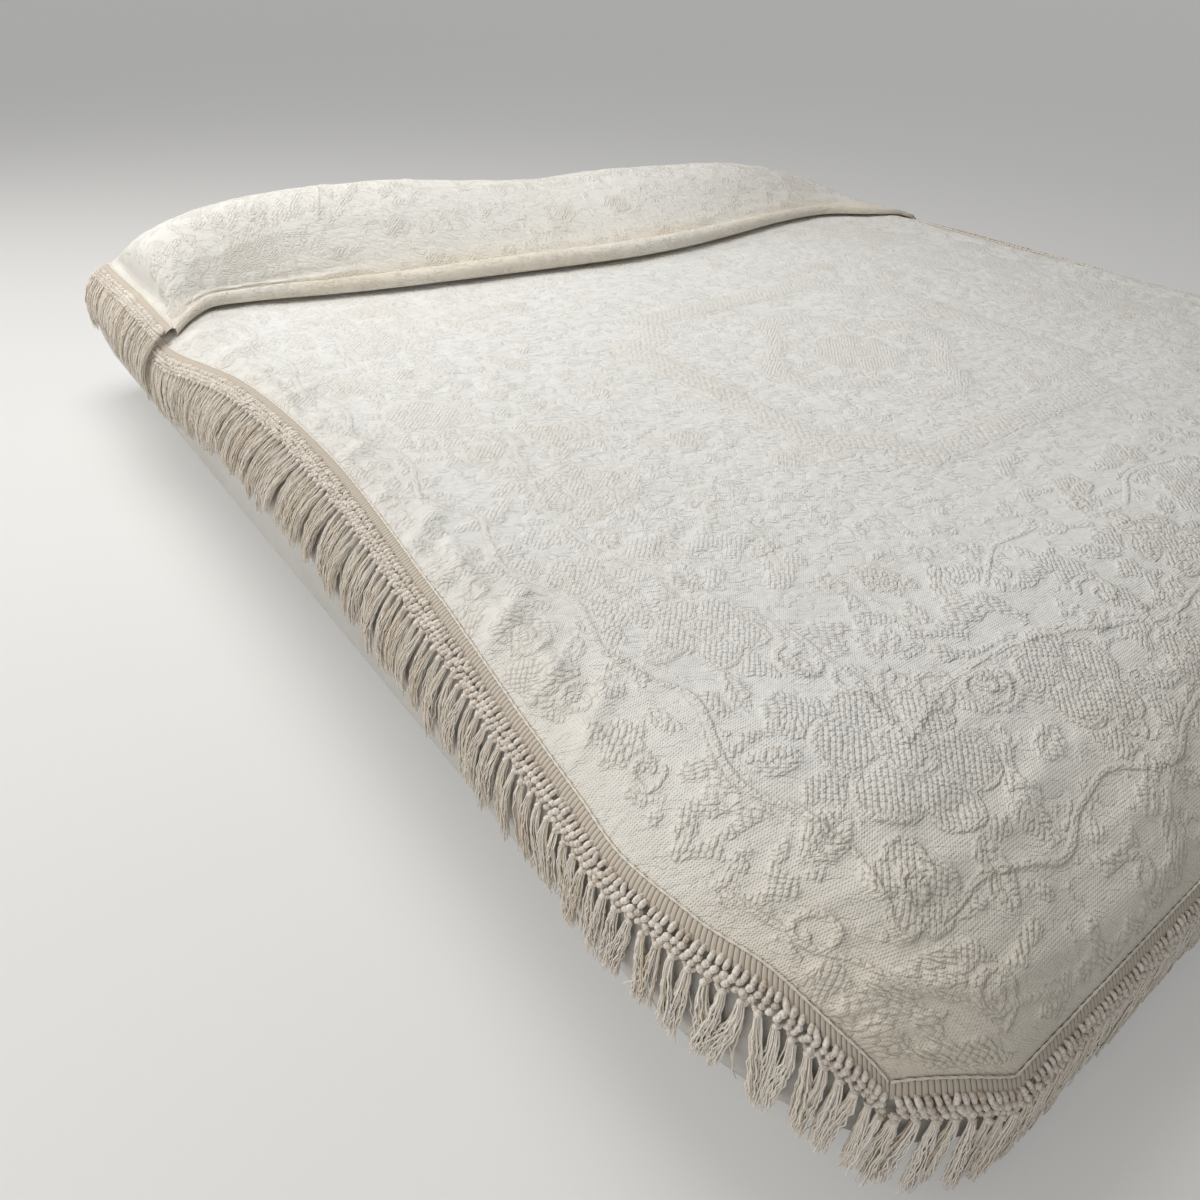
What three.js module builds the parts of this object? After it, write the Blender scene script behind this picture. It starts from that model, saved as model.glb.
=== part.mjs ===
// A woven matelasse bedspread with a knotted fringe on three sides, laid over a mattress
// and two pillows. Near the head it runs in under the pillows, turns forward again to a soft
// lip, and is drawn up over them and down behind.
//
// Millimetres, +Z up. +Y is the head end, X runs across the bed, and the origin is the middle
// of the mattress's flat underside.
import * as THREE from 'three';

// ---- Driving dimensions --------------------------------------------------------------------

const MATTRESS = {
  width: 1880,
  length: 2030,
  height: 275,
  sideRim: 100,        // reach of the rounded sides
  cornerRim: 190,      // the side's reach at the foot corners, where it is softer
  cornerFromY: -380,   // where the side begins to soften toward the foot
  cornerToY: -900,
  sideDrop: 84,        // from the top down to the widest line at the sides
  headRim: 40,
  footRim: 300,        // the foot end falls away in a long soft roll
  footDrop: 158,
  footUnderRim: 90,
};
const FLAT = {         // the flat top between the foot and head rims
  foot: -MATTRESS.length / 2 + MATTRESS.footRim,
  head: MATTRESS.length / 2 - MATTRESS.headRim,
};

const CLOTH = {
  thickness: 2.5,
  restGap: 0.4,        // over the flat top
  rimGap: 3,           // over the rounded edges
  liftOver: 60,        // over which the gap grows before a rounded edge
};
const FLAT_LIFT = CLOTH.restGap + CLOTH.thickness / 2;

const TUCK = {         // the two layers under the pillows
  endY: 676,
  pitch: 7.5,          // from the middle of one layer to the middle of the next
  fadeFromY: 700,      // where the layer over the tuck comes down to the mattress
  fadeToY: 790,
  layerShare: 0.7,     // the layers' half width, between the lower and the upper layer's
  lipFade: 50,         // behind the lip, where its roll has settled on the layers
  tapeInset: 8,        // the heading tape ends this far before the turn
};
// The lip in front of the pillows, across the bed: the middle of its roll, the roll's radius,
// and the place where the pillows' front edge lifts the cloth.
const LIP = [
  { x: -900, y: 492, radius: 4, pillowY: 556 },
  { x: -856, y: 534, radius: 6, pillowY: 576 },
  { x: -812, y: 572, radius: 8, pillowY: 602 },
  { x: -751, y: 568, radius: 9, pillowY: 600 },
  { x: -686, y: 554, radius: 10, pillowY: 590 },
  { x: -618, y: 535, radius: 10, pillowY: 574 },
  { x: -544, y: 518, radius: 11, pillowY: 558 },
  { x: -445, y: 501, radius: 12, pillowY: 542 },
  { x: -314, y: 483, radius: 14, pillowY: 526 },
  { x: -120, y: 457, radius: 15, pillowY: 504 },
  { x: 40, y: 442, radius: 15, pillowY: 490 },
  { x: 200, y: 449, radius: 14, pillowY: 494 },
  { x: 357, y: 472, radius: 12, pillowY: 510 },
  { x: 494, y: 495, radius: 10, pillowY: 528 },
  { x: 620, y: 504, radius: 9, pillowY: 536 },
  { x: 700, y: 493, radius: 9, pillowY: 538 },
  { x: 790, y: 440, radius: 7, pillowY: 534 },
  { x: 900, y: 382, radius: 4, pillowY: 528 },
];
const PILLOW = {
  halfGap: 6,          // from the bed's middle line to a pillow
  outerX: 852,
  frontInset: 6,
  crestY: 753,
  backY: 962,
  seatGap: 0.45,
  clothGap: 4,
  rimWidth: 70,        // over which the ends and sides round off
  seamShare: 0.4,      // how far up its side the pillow's seam lies
  leastSeam: 1.8,      // and its least height over what the pillow lies on
  seamHalf: 1.5,       // half the thickness along the seam
  roundness: 0.6,      // under 1, so the rim is full
  stepFrom: 56,        // behind the turn, where the pillow comes down to the mattress
  stepTo: 110,
  fill: 0.97,
};
// The height of the cloth's crest over the pillows, across the bed.
const CREST = [
  { x: -872, height: 0 },
  { x: -860, height: 50 },
  { x: -842, height: 80 },
  { x: -790, height: 106 },
  { x: -723, height: 122 },
  { x: -637, height: 132 },
  { x: -498, height: 135 },
  { x: -348, height: 129 },
  { x: -210, height: 116 },
  { x: -5, height: 100 },
  { x: 164, height: 104 },
  { x: 316, height: 100 },
  { x: 481, height: 93 },
  { x: 587, height: 83 },
  { x: 740, height: 54 },
  { x: 820, height: 30 },
  { x: 872, height: 0 },
];
const HUMP_BACK_Y = 994;

// Half widths of the cloth, from the bed's middle line to its corded edge, along the bed.
const LEFT_EDGE = [
  { y: -954, x: 856 },
  { y: -908, x: 874 },
  { y: -857, x: 889 },
  { y: -809, x: 906 },
  { y: -731, x: 919 },
  { y: -673, x: 915 },
  { y: -525, x: 904 },
  { y: -370, x: 890 },
  { y: -48, x: 864 },
  { y: 226, x: 870 },
  { y: 480, x: 908 },
  { y: 680, x: 900 },
];
const RIGHT_EDGE = [
  { y: -954, x: 856 },
  { y: -880, x: 886 },
  { y: -780, x: 913 },
  { y: -640, x: 908 },
  { y: -460, x: 897 },
  { y: -200, x: 884 },
  { y: 40, x: 866 },
  { y: 200, x: 860 },
  { y: 340, x: 871 },
  { y: 480, x: 893 },
  { y: 680, x: 898 },
];
const HEAD_EDGE = [
  { y: 360, x: 889 },
  { y: 600, x: 887 },
  { y: 750, x: 885 },
  { y: 900, x: 887 },
  { y: 1040, x: 886 },
];
const FOOT_EDGE = { middleY: -1003, cornerY: -954, cornerShare: 0.1, turnPower: 1.2 };

const HEADING = { width: 14, thickness: 2.2, gap: 0.8 };
const FRINGE = {
  gap: 1.1,
  thickness: 9,
  taper: 2,            // the tassels' ends are this much thinner
  knots: 23,           // depth of the knotted band that carries the tassels
  bend: 34,            // from the knots to where the tassels hang straight
  length: 90,          // knots and tassels together
  uneven: 6,
  cornerExtra: 22,     // tassels hang freer, and so lower, at the foot and its corners
  pitch: 74,           // one tooth of the comb stands for about five tassels
  cornerPitch: 36,
  hemPitch: 12,
  turnMargin: 30,      // before a rounded corner, where the narrower teeth begin
  hemRows: 2,          // how far round the head rim the fringe goes, in rows of the hem
  leastTooth: 0.6,     // of the pitch, under which a last tooth joins the one before it
  toothShare: 0.84,
  sway: 6,
  liftOverHeading: 3.75,
  endInset: 3,
};

const COLOURS = {
  cloth: 0xe8e2d6,
  heading: 0xded4c2,
  fringe: 0xd9cdb8,
  ticking: 0xe4e2dc,
  pillowcase: 0xe9e8e4,
};

// ---- Small helpers -------------------------------------------------------------------------

const clamp01 = (value) => Math.min(Math.max(value, 0), 1);
const mix = (from, to, share) => from + (to - from) * share;
const smooth = (from, to, value) => {
  const share = clamp01((value - from) / (to - from));
  return share * share * (3 - 2 * share);
};
const range = (count) => Array.from({ length: count }, (_, index) => index);

// A smooth curve through a table's rows: the wanted column at a place along the key column.
function fromTable(table, key, column, at) {
  const place = Math.min(Math.max(at, table[0][key]), table[table.length - 1][key]);
  let row = table.findIndex((entry) => entry[key] >= place);
  row = Math.max(row, 1);
  const slopeAt = (index) => {
    const before = table[Math.max(index - 1, 0)];
    const after = table[Math.min(index + 1, table.length - 1)];
    return (after[column] - before[column]) / (after[key] - before[key]);
  };
  const a = table[row - 1];
  const b = table[row];
  const span = b[key] - a[key];
  const t = (place - a[key]) / span;
  const t2 = t * t;
  const t3 = t2 * t;
  return a[column] * (2 * t3 - 3 * t2 + 1) + b[column] * (3 * t2 - 2 * t3)
    + slopeAt(row - 1) * span * (t3 - 2 * t2 + t) + slopeAt(row) * span * (t3 - t2);
}

// A closed solid between two grids of points, rows by columns. Cells that are left out become
// gaps, and every open edge gets a wall.
function solidBetween(front, back, hasCell = () => true) {
  const rows = front.length;
  const columns = front[0].length;
  const triangles = [];
  const used = new Map();
  const positions = [];
  const vertex = (side, row, column) => {
    const key = (side * rows + row) * columns + column;
    if (!used.has(key)) {
      used.set(key, positions.length / 3);
      const point = (side === 0 ? front : back)[row][column];
      positions.push(point.x, point.y, point.z);
    }
    return used.get(key);
  };
  const cell = (row, column) => row >= 0 && row < rows - 1 && column >= 0
    && column < columns - 1 && hasCell(row, column);
  const wall = (rowA, columnA, rowB, columnB) => {
    const frontA = vertex(0, rowA, columnA);
    const frontB = vertex(0, rowB, columnB);
    const backA = vertex(1, rowA, columnA);
    const backB = vertex(1, rowB, columnB);
    triangles.push(frontA, backB, frontB, frontA, backA, backB);
  };
  for (const row of range(rows - 1)) {
    for (const column of range(columns - 1)) {
      if (!cell(row, column)) {
        continue;
      }
      const corners = [[row, column], [row, column + 1], [row + 1, column + 1], [row + 1, column]];
      const [a, b, c, d] = corners.map(([r, k]) => vertex(0, r, k));
      triangles.push(a, b, c, a, c, d);
      const [e, f, g, h] = corners.map(([r, k]) => vertex(1, r, k));
      triangles.push(e, g, f, e, h, g);
      if (!cell(row - 1, column)) {
        wall(row, column, row, column + 1);
      }
      if (!cell(row, column + 1)) {
        wall(row, column + 1, row + 1, column + 1);
      }
      if (!cell(row + 1, column)) {
        wall(row + 1, column + 1, row + 1, column);
      }
      if (!cell(row, column - 1)) {
        wall(row + 1, column, row, column);
      }
    }
  }
  return facingOut(positions, triangles);
}

// Geometry from points and triangles, turned inside out if its volume comes out negative.
function facingOut(positions, triangles) {
  const corner = (index) => new THREE.Vector3().fromArray(positions, triangles[index] * 3);
  let volume = 0;
  for (let index = 0; index < triangles.length; index += 3) {
    const product = new THREE.Vector3().crossVectors(corner(index + 1), corner(index + 2));
    volume += corner(index).dot(product);
  }
  const index = volume > 0 ? triangles : triangles.slice().reverse();
  const geometry = new THREE.BufferGeometry();
  geometry.setAttribute('position', new THREE.Float32BufferAttribute(positions, 3));
  geometry.setIndex(index);
  geometry.computeVertexNormals();
  return geometry;
}

// ---- The mattress's rounded rim ------------------------------------------------------------

// How far the rounded side reaches in from the mattress's widest line.
const sideReach = (y) => mix(
  MATTRESS.sideRim,
  MATTRESS.cornerRim,
  smooth(MATTRESS.cornerFromY, MATTRESS.cornerToY, y),
);
const flatHalfWidth = (y) => MATTRESS.width / 2 - sideReach(y);

// Where a place of the plan lies on the rim: its shares of the rim's reach, from 0 at the flat
// top to 1 at the widest line, and the rim's own sizes there.
function rimAt(x, y) {
  const atFoot = y < FLAT.foot;
  const endRim = atFoot ? MATTRESS.footRim : MATTRESS.headRim;
  const beyond = Math.max(FLAT.foot - y, y - FLAT.head, 0);
  const side = Math.max(Math.abs(x) - flatHalfWidth(y), 0) / sideReach(y);
  const end = beyond / endRim;
  const share = Math.hypot(side, end);
  const towardFoot = atFoot && share > 0 ? (end / share) ** 2 : 0;
  return {
    side,
    end,
    share,
    endRim,
    endSign: atFoot ? -1 : 1,
    drop: mix(MATTRESS.sideDrop, MATTRESS.footDrop, towardFoot),
  };
}

// The point a given lift above the mattress's top surface.
function overMattress(x, y, lift) {
  const rim = rimAt(x, y);
  const fall = 1 - Math.sqrt(Math.max(1 - rim.share ** 2, 0));
  return new THREE.Vector3(
    x + Math.sign(x) * lift * rim.side,
    y + rim.endSign * lift * rim.end,
    MATTRESS.height + lift - (rim.drop + lift) * fall,
  );
}

// Straight down the rim from a place on it, and on down past the widest line. Returns the
// point at a distance along that way, for any lift.
function downRim(x, y, middleLift, distance) {
  const rim = rimAt(x, y);
  const acrossShare = rim.side / rim.share;
  const endShare = rim.end / rim.share;
  const startY = rim.end > 0 ? (rim.endSign < 0 ? FLAT.foot : FLAT.head) : y;
  const pointAt = (angle, lift, fall) => {
    const outward = rim.endSign * Math.sin(angle) * endShare;
    const restY = startY + rim.endRim * outward;
    const across = flatHalfWidth(restY)
      + (sideReach(restY) + lift) * Math.sin(angle) * acrossShare;
    return new THREE.Vector3(
      rim.side > 0 ? Math.sign(x) * across : x,
      restY + lift * outward,
      MATTRESS.height + lift - (rim.drop + lift) * (1 - Math.cos(angle)) - fall,
    );
  };
  const step = Math.PI / 360;
  let angle = Math.asin(Math.min(rim.share, 1));
  let left = distance;
  while (left > 0 && angle < Math.PI / 2) {
    const next = Math.min(angle + step, Math.PI / 2);
    const length = pointAt(angle, middleLift, 0).distanceTo(pointAt(next, middleLift, 0));
    angle = length <= left ? next : mix(angle, next, left / length);
    left = length <= left ? left - length : 0;
  }
  return (lift) => pointAt(angle, lift, left);
}

// ---- Bedspread -----------------------------------------------------------------------------

const edgeX = (side, y) => fromTable(side < 0 ? LEFT_EDGE : RIGHT_EDGE, 'y', 'x', y);
const headEdgeX = (y) => fromTable(HEAD_EDGE, 'y', 'x', y);

// How far the foot edge lies toward the foot, at a share of the half width.
function footEdgeY(share) {
  const corner = clamp01((Math.abs(share) - 1 + FOOT_EDGE.cornerShare) / FOOT_EDGE.cornerShare);
  return mix(FOOT_EDGE.middleY, FOOT_EDGE.cornerY, corner ** FOOT_EDGE.turnPower);
}

// The cloth lies close on the flat top and stands a little off where it rolls over an edge.
function restLift(x, y) {
  const pastFlat = Math.max(Math.abs(x) - flatHalfWidth(y), FLAT.foot - y, y - FLAT.head);
  const gap = mix(CLOTH.restGap, CLOTH.rimGap, smooth(-CLOTH.liftOver, 0, pastFlat));
  return gap + CLOTH.thickness / 2;
}

const lip = (column, x) => fromTable(LIP, 'x', column, x);

// The hump of the pillows under the cloth.
function humpHeight(x, y) {
  const front = lip('pillowY', x) - 2 * PILLOW.frontInset;
  const reach = y < PILLOW.crestY ? PILLOW.crestY - front : HUMP_BACK_Y - PILLOW.crestY;
  const along = Math.min(Math.abs(y - PILLOW.crestY) / reach, 1);
  return fromTable(CREST, 'x', 'height', x) * Math.cos((Math.PI / 2) * along);
}

// The upper layer's lift over the tucked layers, the pillows, and the mattress behind them.
function upperLift(x, y) {
  const overTuck = FLAT_LIFT + 2 * TUCK.pitch;
  const overLip = FLAT_LIFT + TUCK.pitch + 2 * lip('radius', x);
  const base = mix(overTuck, restLift(x, y), smooth(TUCK.fadeFromY, TUCK.fadeToY, y));
  const lipY = lip('y', x);
  return mix(overLip, base, smooth(lipY, lipY + TUCK.lipFade, y)) + humpHeight(x, y);
}

// The columns of the sheet, as shares of its half width, closer together over the sides.
const COLUMNS = [0, 0.22, 0.45, 0.66, 0.8, 0.87, 0.91, 0.94, 0.965, 0.985, 1];
const SHARES = [...COLUMNS.slice(1).reverse().map((share) => -share), ...COLUMNS];

// The rows of the sheet: as shares of the way up the foot roll, and along the bed.
const FOOT_ROWS = [0, 0.06, 0.13, 0.21, 0.31, 0.43, 0.57, 0.75];
const MAIN_ROWS = [-695, -635, -560, -470, -370, -260, -150, -48, 60, 150, 226, 290, 350, 420, 500,
  590, TUCK.endY];
const LIP_ROWS = [0, 0.13, 0.3, 0.5, 0.75];    // from the lip to the first of the upper rows
const UPPER_ROWS = [648, 700, 753, 802, 850, 892, 928, 958, 975];
const HEM_ROWS = [10, 20, 30, 42, 56];    // degrees round the head rim
const TURN_ROWS = [45, 90, 135];          // degrees round the turn under the pillows
const LAYER_ROWS = [1, 0.5, 0];           // from the turn forward to the lip
const LIP_TURN_ROWS = [36, 72, 108, 144]; // degrees round the lip

// The points from the foot edge to the head hem, a function of the share for each row.
function sheetRows() {
  const rows = [];
  const across = (share, y) => share * (share < 0 ? edgeX(-1, y) : edgeX(1, y));
  const main = (yOf) => rows.push((share) => {
    const y = yOf(share);
    const x = across(share, y);
    return overMattress(x, y, restLift(x, y));
  });
  for (const rowShare of FOOT_ROWS) {
    main((share) => mix(footEdgeY(share), MAIN_ROWS[0], rowShare));
  }
  for (const y of MAIN_ROWS) {
    main(() => y);
  }
  // Round the turn under the pillows, and forward again as the middle layer.
  const layerX = (share, y) => share
    * mix(edgeX(Math.sign(share) || 1, y), headEdgeX(y), TUCK.layerShare);
  const turn = (x, y, radius, lift, degrees) => {
    const angle = THREE.MathUtils.degToRad(degrees);
    return overMattress(x, y + radius * Math.sin(angle), lift - Math.abs(radius) * Math.cos(angle));
  };
  for (const degrees of TURN_ROWS) {
    rows.push((share) => turn(layerX(share, TUCK.endY), TUCK.endY, TUCK.pitch / 2,
      FLAT_LIFT + TUCK.pitch / 2, degrees));
  }
  const middleLift = FLAT_LIFT + TUCK.pitch;
  for (const back of LAYER_ROWS) {
    rows.push((share) => {
      const x = layerX(share, TUCK.endY);
      return overMattress(x, mix(lip('y', x), TUCK.endY, back), middleLift);
    });
  }
  // Round the lip.
  for (const degrees of LIP_TURN_ROWS) {
    rows.push((share) => {
      const x = mix(layerX(share, TUCK.endY), share * headEdgeX(TUCK.endY), degrees / 180);
      const radius = lip('radius', x);
      return turn(x, lip('y', x), -radius, middleLift + radius, degrees);
    });
  }
  // Up over the pillows and down behind them.
  const upper = (yOf) => rows.push((share) => {
    const y = yOf(share * headEdgeX(TUCK.endY));
    const x = share * headEdgeX(y);
    return overMattress(x, y, upperLift(x, y));
  });
  for (const rowShare of LIP_ROWS) {
    upper((x) => mix(lip('y', x), UPPER_ROWS[0], rowShare));
  }
  for (const y of UPPER_ROWS) {
    upper(() => y);
  }
  for (const degrees of HEM_ROWS) {
    upper(() => FLAT.head + MATTRESS.headRim * Math.sin(THREE.MathUtils.degToRad(degrees)));
  }
  return rows;
}

function bedspread() {
  const middle = sheetRows().map((row) => SHARES.map((share) => row(share)));
  const lastRow = middle.length - 1;
  const lastColumn = SHARES.length - 1;
  const offset = (amount) => middle.map((points, row) => points.map((point, column) => {
    const ahead = middle[Math.min(row + 1, lastRow)][column];
    const behind = middle[Math.max(row - 1, 0)][column];
    const right = points[Math.min(column + 1, lastColumn)];
    const left = points[Math.max(column - 1, 0)];
    const along = new THREE.Vector3().subVectors(ahead, behind);
    const across = new THREE.Vector3().subVectors(right, left);
    const normal = new THREE.Vector3().crossVectors(across, along).normalize();
    return point.clone().addScaledVector(normal, amount);
  }));
  return solidBetween(offset(CLOTH.thickness / 2), offset(-CLOTH.thickness / 2));
}

// ---- Heading tape and fringe ---------------------------------------------------------------

// Each stretch of edge has the places that the cloth's own rows give it, the place of the
// corded edge at a distance along it, the cloth's lift there, how much longer the tassels hang,
// and the pitch of the comb's teeth, which are narrow where the edge turns.
const edgeLift = () => CLOTH.rimGap + CLOTH.thickness / 2;
const sideStretch = (side, table) => {
  const footRows = FOOT_ROWS.map((rowShare) => mix(table[0].y, MAIN_ROWS[0], rowShare));
  return {
    stations: [...footRows, ...MAIN_ROWS.slice(0, -1), TUCK.endY - TUCK.tapeInset],
    place: (y) => [side * edgeX(side, y), y],
    lift: edgeLift,
    longer: (y) => FRINGE.cornerExtra * smooth(FLAT.foot, FOOT_EDGE.cornerY, y),
    pitch: (y) => (y < MAIN_ROWS[1] ? FRINGE.cornerPitch : FRINGE.pitch),
  };
};
const headStretch = (side) => {
  const hem = HEM_ROWS.slice(0, FRINGE.hemRows).map((degrees) => FLAT.head
    + MATTRESS.headRim * Math.sin(THREE.MathUtils.degToRad(degrees)));
  const lipY = lip('y', side * headEdgeX(TUCK.endY));
  const lipRows = LIP_ROWS.map((rowShare) => mix(lipY, UPPER_ROWS[0], rowShare));
  return {
    stations: [...lipRows, ...UPPER_ROWS, ...hem],
    place: (y) => [side * headEdgeX(y), y],
    lift: (y) => upperLift(side * headEdgeX(y), y),
    longer: () => 0,
    pitch: (y) => (y > FLAT.head - FRINGE.turnMargin ? FRINGE.hemPitch : FRINGE.pitch),
  };
};
const footStretch = () => {
  const shares = SHARES.map((share) => share
    * (share < 0 ? LEFT_EDGE[0].x : RIGHT_EDGE[0].x));
  return {
    stations: shares,
    place: (x) => [x, footEdgeY(x / (x < 0 ? LEFT_EDGE[0].x : RIGHT_EDGE[0].x))],
    lift: edgeLift,
    longer: () => FRINGE.cornerExtra,
    pitch: (x) => (Math.abs(x) > flatHalfWidth(FOOT_EDGE.middleY) - FRINGE.turnMargin
      ? FRINGE.cornerPitch : FRINGE.pitch),
  };
};
const STRETCHES = {
  left: sideStretch(-1, LEFT_EDGE),
  right: sideStretch(1, RIGHT_EDGE),
  foot: footStretch(),
  left_head: headStretch(-1),
  right_head: headStretch(1),
};

// A face of a strip that continues the cloth past its edge: a row for each distance down.
function stripFace(stretch, alongs, distances, liftAt) {
  return distances.map((distance, row) => alongs.map((along, column) => {
    const at = typeof along === 'function' ? along(row) : along;
    const down = typeof distance === 'function' ? distance(column) : distance;
    const [x, y] = stretch.place(at);
    const lift = stretch.lift(at);
    return downRim(x, y, lift, down)(lift + liftAt.middle + liftAt.half(row));
  }));
}

function heading(stretch) {
  const { stations } = stretch;
  const alongs = stations.map((station, index) => {
    const inset = index === 0 ? FRINGE.endInset : index === stations.length - 1
      ? -FRINGE.endInset : 0;
    return station + inset;
  });
  const distances = [HEADING.gap, HEADING.gap + HEADING.width];
  const face = (sign) => stripFace(stretch, alongs, distances, {
    middle: 0,
    half: () => sign * HEADING.thickness / 2,
  });
  return solidBetween(face(1), face(-1));
}

// One comb of knots and tassels, hanging below the heading. Each tooth has its own length
// and leans a little to one side.
function fringe(stretch) {
  const from = stretch.stations[0] + FRINGE.endInset;
  const to = stretch.stations[stretch.stations.length - 1] - FRINGE.endInset;
  const starts = [from];
  let next = from;
  while (next < to) {
    next += stretch.pitch(next);
    starts.push(Math.min(next, to));
  }
  // A last tooth that came out too narrow joins the one before it.
  if (starts[starts.length - 1] - starts[starts.length - 2] < stretch.pitch(to) * FRINGE.leastTooth) {
    starts.splice(starts.length - 2, 1);
  }
  const within = [0, FRINGE.toothShare / 2, FRINGE.toothShare];
  const teeth = starts.length - 1;
  const lean = (tooth) => FRINGE.sway * Math.sin(tooth * 1.7 + 0.5);
  const length = (tooth) => FRINGE.length + stretch.longer(starts[tooth])
    + FRINGE.uneven * (Math.sin(tooth * 2.4) + 0.6 * Math.sin(tooth * 5.1 + 1));
  const hang = (row) => clamp01((row - 1) / 2);
  const alongs = range(teeth).flatMap((tooth) => within.map((share) => (row) => {
    const straight = mix(starts[tooth], starts[tooth + 1], share);
    return Math.min(Math.max(straight + lean(tooth) * hang(row), from), to);
  }));
  const top = HEADING.gap + HEADING.width + FRINGE.gap;
  const distances = [
    top,
    top + FRINGE.knots,
    top + FRINGE.knots + FRINGE.bend,
    (column) => top + length(Math.floor(column / within.length)),
  ];
  const face = (sign) => stripFace(stretch, alongs, distances, {
    middle: FRINGE.liftOverHeading,
    half: (row) => sign * (FRINGE.thickness - FRINGE.taper * hang(row)) / 2,
  });
  const isTooth = (column) => column % within.length < within.length - 1;
  return solidBetween(face(1), face(-1), (row, column) => row === 0 || isTooth(column));
}

// ---- Mattress ------------------------------------------------------------------------------

// Degrees round each corner, and places along the sides, which soften toward the foot.
const CORNER_STATIONS = [0, 18, 36, 54, 72, 90];
const SIDE_STATIONS = [-620, -520, -420];
// Degrees round the rim, from the flat top (0) over the widest line (90) to the flat underside.
// The flat faces meet the rim in four corner points, so the outer rings start just beside
// them, where no two points coincide.
const RIM_RINGS = [2.5, 12, 25, 38, 50, 62, 76, 90, 112, 134, 156, 176];

function mattress() {
  const cornerAngles = CORNER_STATIONS.map(THREE.MathUtils.degToRad);
  const quarter = (signX, atFoot) => cornerAngles.map((angle) => ({ signX, atFoot, angle }));
  const softSide = (signX) => SIDE_STATIONS.map((y) => ({ signX, atFoot: true, angle: 0, y }));
  const outline = [
    ...quarter(1, true).reverse(),
    ...softSide(1),
    ...quarter(1, false),
    ...quarter(-1, false).reverse(),
    ...softSide(-1).reverse(),
    ...quarter(-1, true),
  ];
  const ringPoint = ({ signX, atFoot, angle, y }, round) => {
    const endSign = atFoot ? -1 : 1;
    const endRim = atFoot ? MATTRESS.footRim : MATTRESS.headRim;
    const underRim = atFoot ? MATTRESS.footUnderRim : MATTRESS.headRim;
    const drop = atFoot
      ? mix(MATTRESS.sideDrop, MATTRESS.footDrop, Math.sin(angle) ** 2)
      : MATTRESS.sideDrop;
    const startY = y ?? (atFoot ? FLAT.foot : FLAT.head);
    const over = round <= Math.PI / 2;
    const reach = over ? Math.sin(round) : 1;
    const back = over ? 0 : 1 - Math.sin(round);
    const widestY = startY + endSign * Math.sin(angle) * endRim * reach;
    const across = flatHalfWidth(widestY) + sideReach(widestY) * Math.cos(angle) * reach
      - MATTRESS.sideRim * Math.cos(angle) * back;
    const z = over
      ? MATTRESS.height - drop * (1 - Math.cos(round))
      : (MATTRESS.height - drop) * (1 + Math.cos(round));
    return [signX * across, widestY - endSign * Math.sin(angle) * underRim * back, z];
  };
  const rounds = RIM_RINGS.map(THREE.MathUtils.degToRad);
  const positions = rounds.flatMap((round) => outline.flatMap((place) => ringPoint(place, round)));
  const count = outline.length;
  const triangles = [];
  for (const ring of range(rounds.length - 1)) {
    for (const step of range(count)) {
      const next = (step + 1) % count;
      const a = ring * count + step;
      const b = ring * count + next;
      const c = a + count;
      const d = b + count;
      triangles.push(a, c, d, a, d, b);
    }
  }
  // The first and last ring are pulled level and filled in, as the flat top and underside.
  const cap = (ring, z, flipped) => {
    const first = ring * count;
    for (const step of range(count)) {
      positions[(first + step) * 3 + 2] = z;
    }
    for (const step of range(count - 2)) {
      const fan = [first, first + step + 1, first + step + 2];
      triangles.push(...(flipped ? fan.reverse() : fan));
    }
  };
  cap(0, MATTRESS.height, false);
  cap(rounds.length - 1, 0, true);
  return facingOut(positions, triangles);
}

// ---- Pillows -------------------------------------------------------------------------------

// Shares of a pillow's length and of its depth, closer together at the rims.
const PILLOW_COLUMNS = [0, 0.03, 0.09, 0.2, 0.32, 0.44, 0.56, 0.68, 0.78, 0.87, 0.94, 1];
const PILLOW_ROWS = [0, 0.03, 0.09, 0.18, 0.29, 0.4, 0.52, 0.64, 0.76, 0.87, 0.95, 1];

// A plump pillow that fills the room between the tucked layers and the cloth over it. Its
// front half lies on those layers, its back half on the mattress.
function pillow(side) {
  const innerX = PILLOW.halfGap;
  const xs = PILLOW_COLUMNS.map((share) => side * mix(innerX, PILLOW.outerX, share));
  const frontAt = (x) => lip('pillowY', x) + PILLOW.frontInset;
  const roundOff = (distance) => Math.sin(clamp01(distance / PILLOW.rimWidth) * Math.PI / 2)
    ** PILLOW.roundness;
  const heights = (x, y) => {
    const overLayers = FLAT_LIFT + TUCK.pitch + CLOTH.thickness / 2 + PILLOW.seatGap;
    const onMattress = smooth(TUCK.endY + PILLOW.stepFrom, TUCK.endY + PILLOW.stepTo, y);
    const under = mix(overLayers, PILLOW.seatGap, onMattress);
    const over = upperLift(x, y) - CLOTH.thickness / 2 - PILLOW.clothGap;
    const rim = roundOff(Math.abs(x) - innerX) * roundOff(PILLOW.outerX - Math.abs(x))
      * roundOff(y - frontAt(x)) * roundOff(PILLOW.backY - y);
    const seam = Math.max(mix(under, over, PILLOW.seamShare), under + PILLOW.leastSeam);
    return { top: mix(seam, over * PILLOW.fill, rim), bottom: mix(seam, under, rim) };
  };
  const face = (pick, lastHalf) => PILLOW_ROWS.map((depth, row) => xs.map((x, column) => {
    const y = mix(frontAt(x), PILLOW.backY, depth);
    const onRim = row === 0 || row === PILLOW_ROWS.length - 1
      || column === 0 || column === xs.length - 1;
    const lift = heights(x, y)[pick] + (onRim ? lastHalf : 0);
    return new THREE.Vector3(x, y, MATTRESS.height + lift);
  }));
  return solidBetween(face('top', PILLOW.seamHalf), face('bottom', -PILLOW.seamHalf));
}

// ---- Assembly ------------------------------------------------------------------------------

const group = new THREE.Group();

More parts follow.
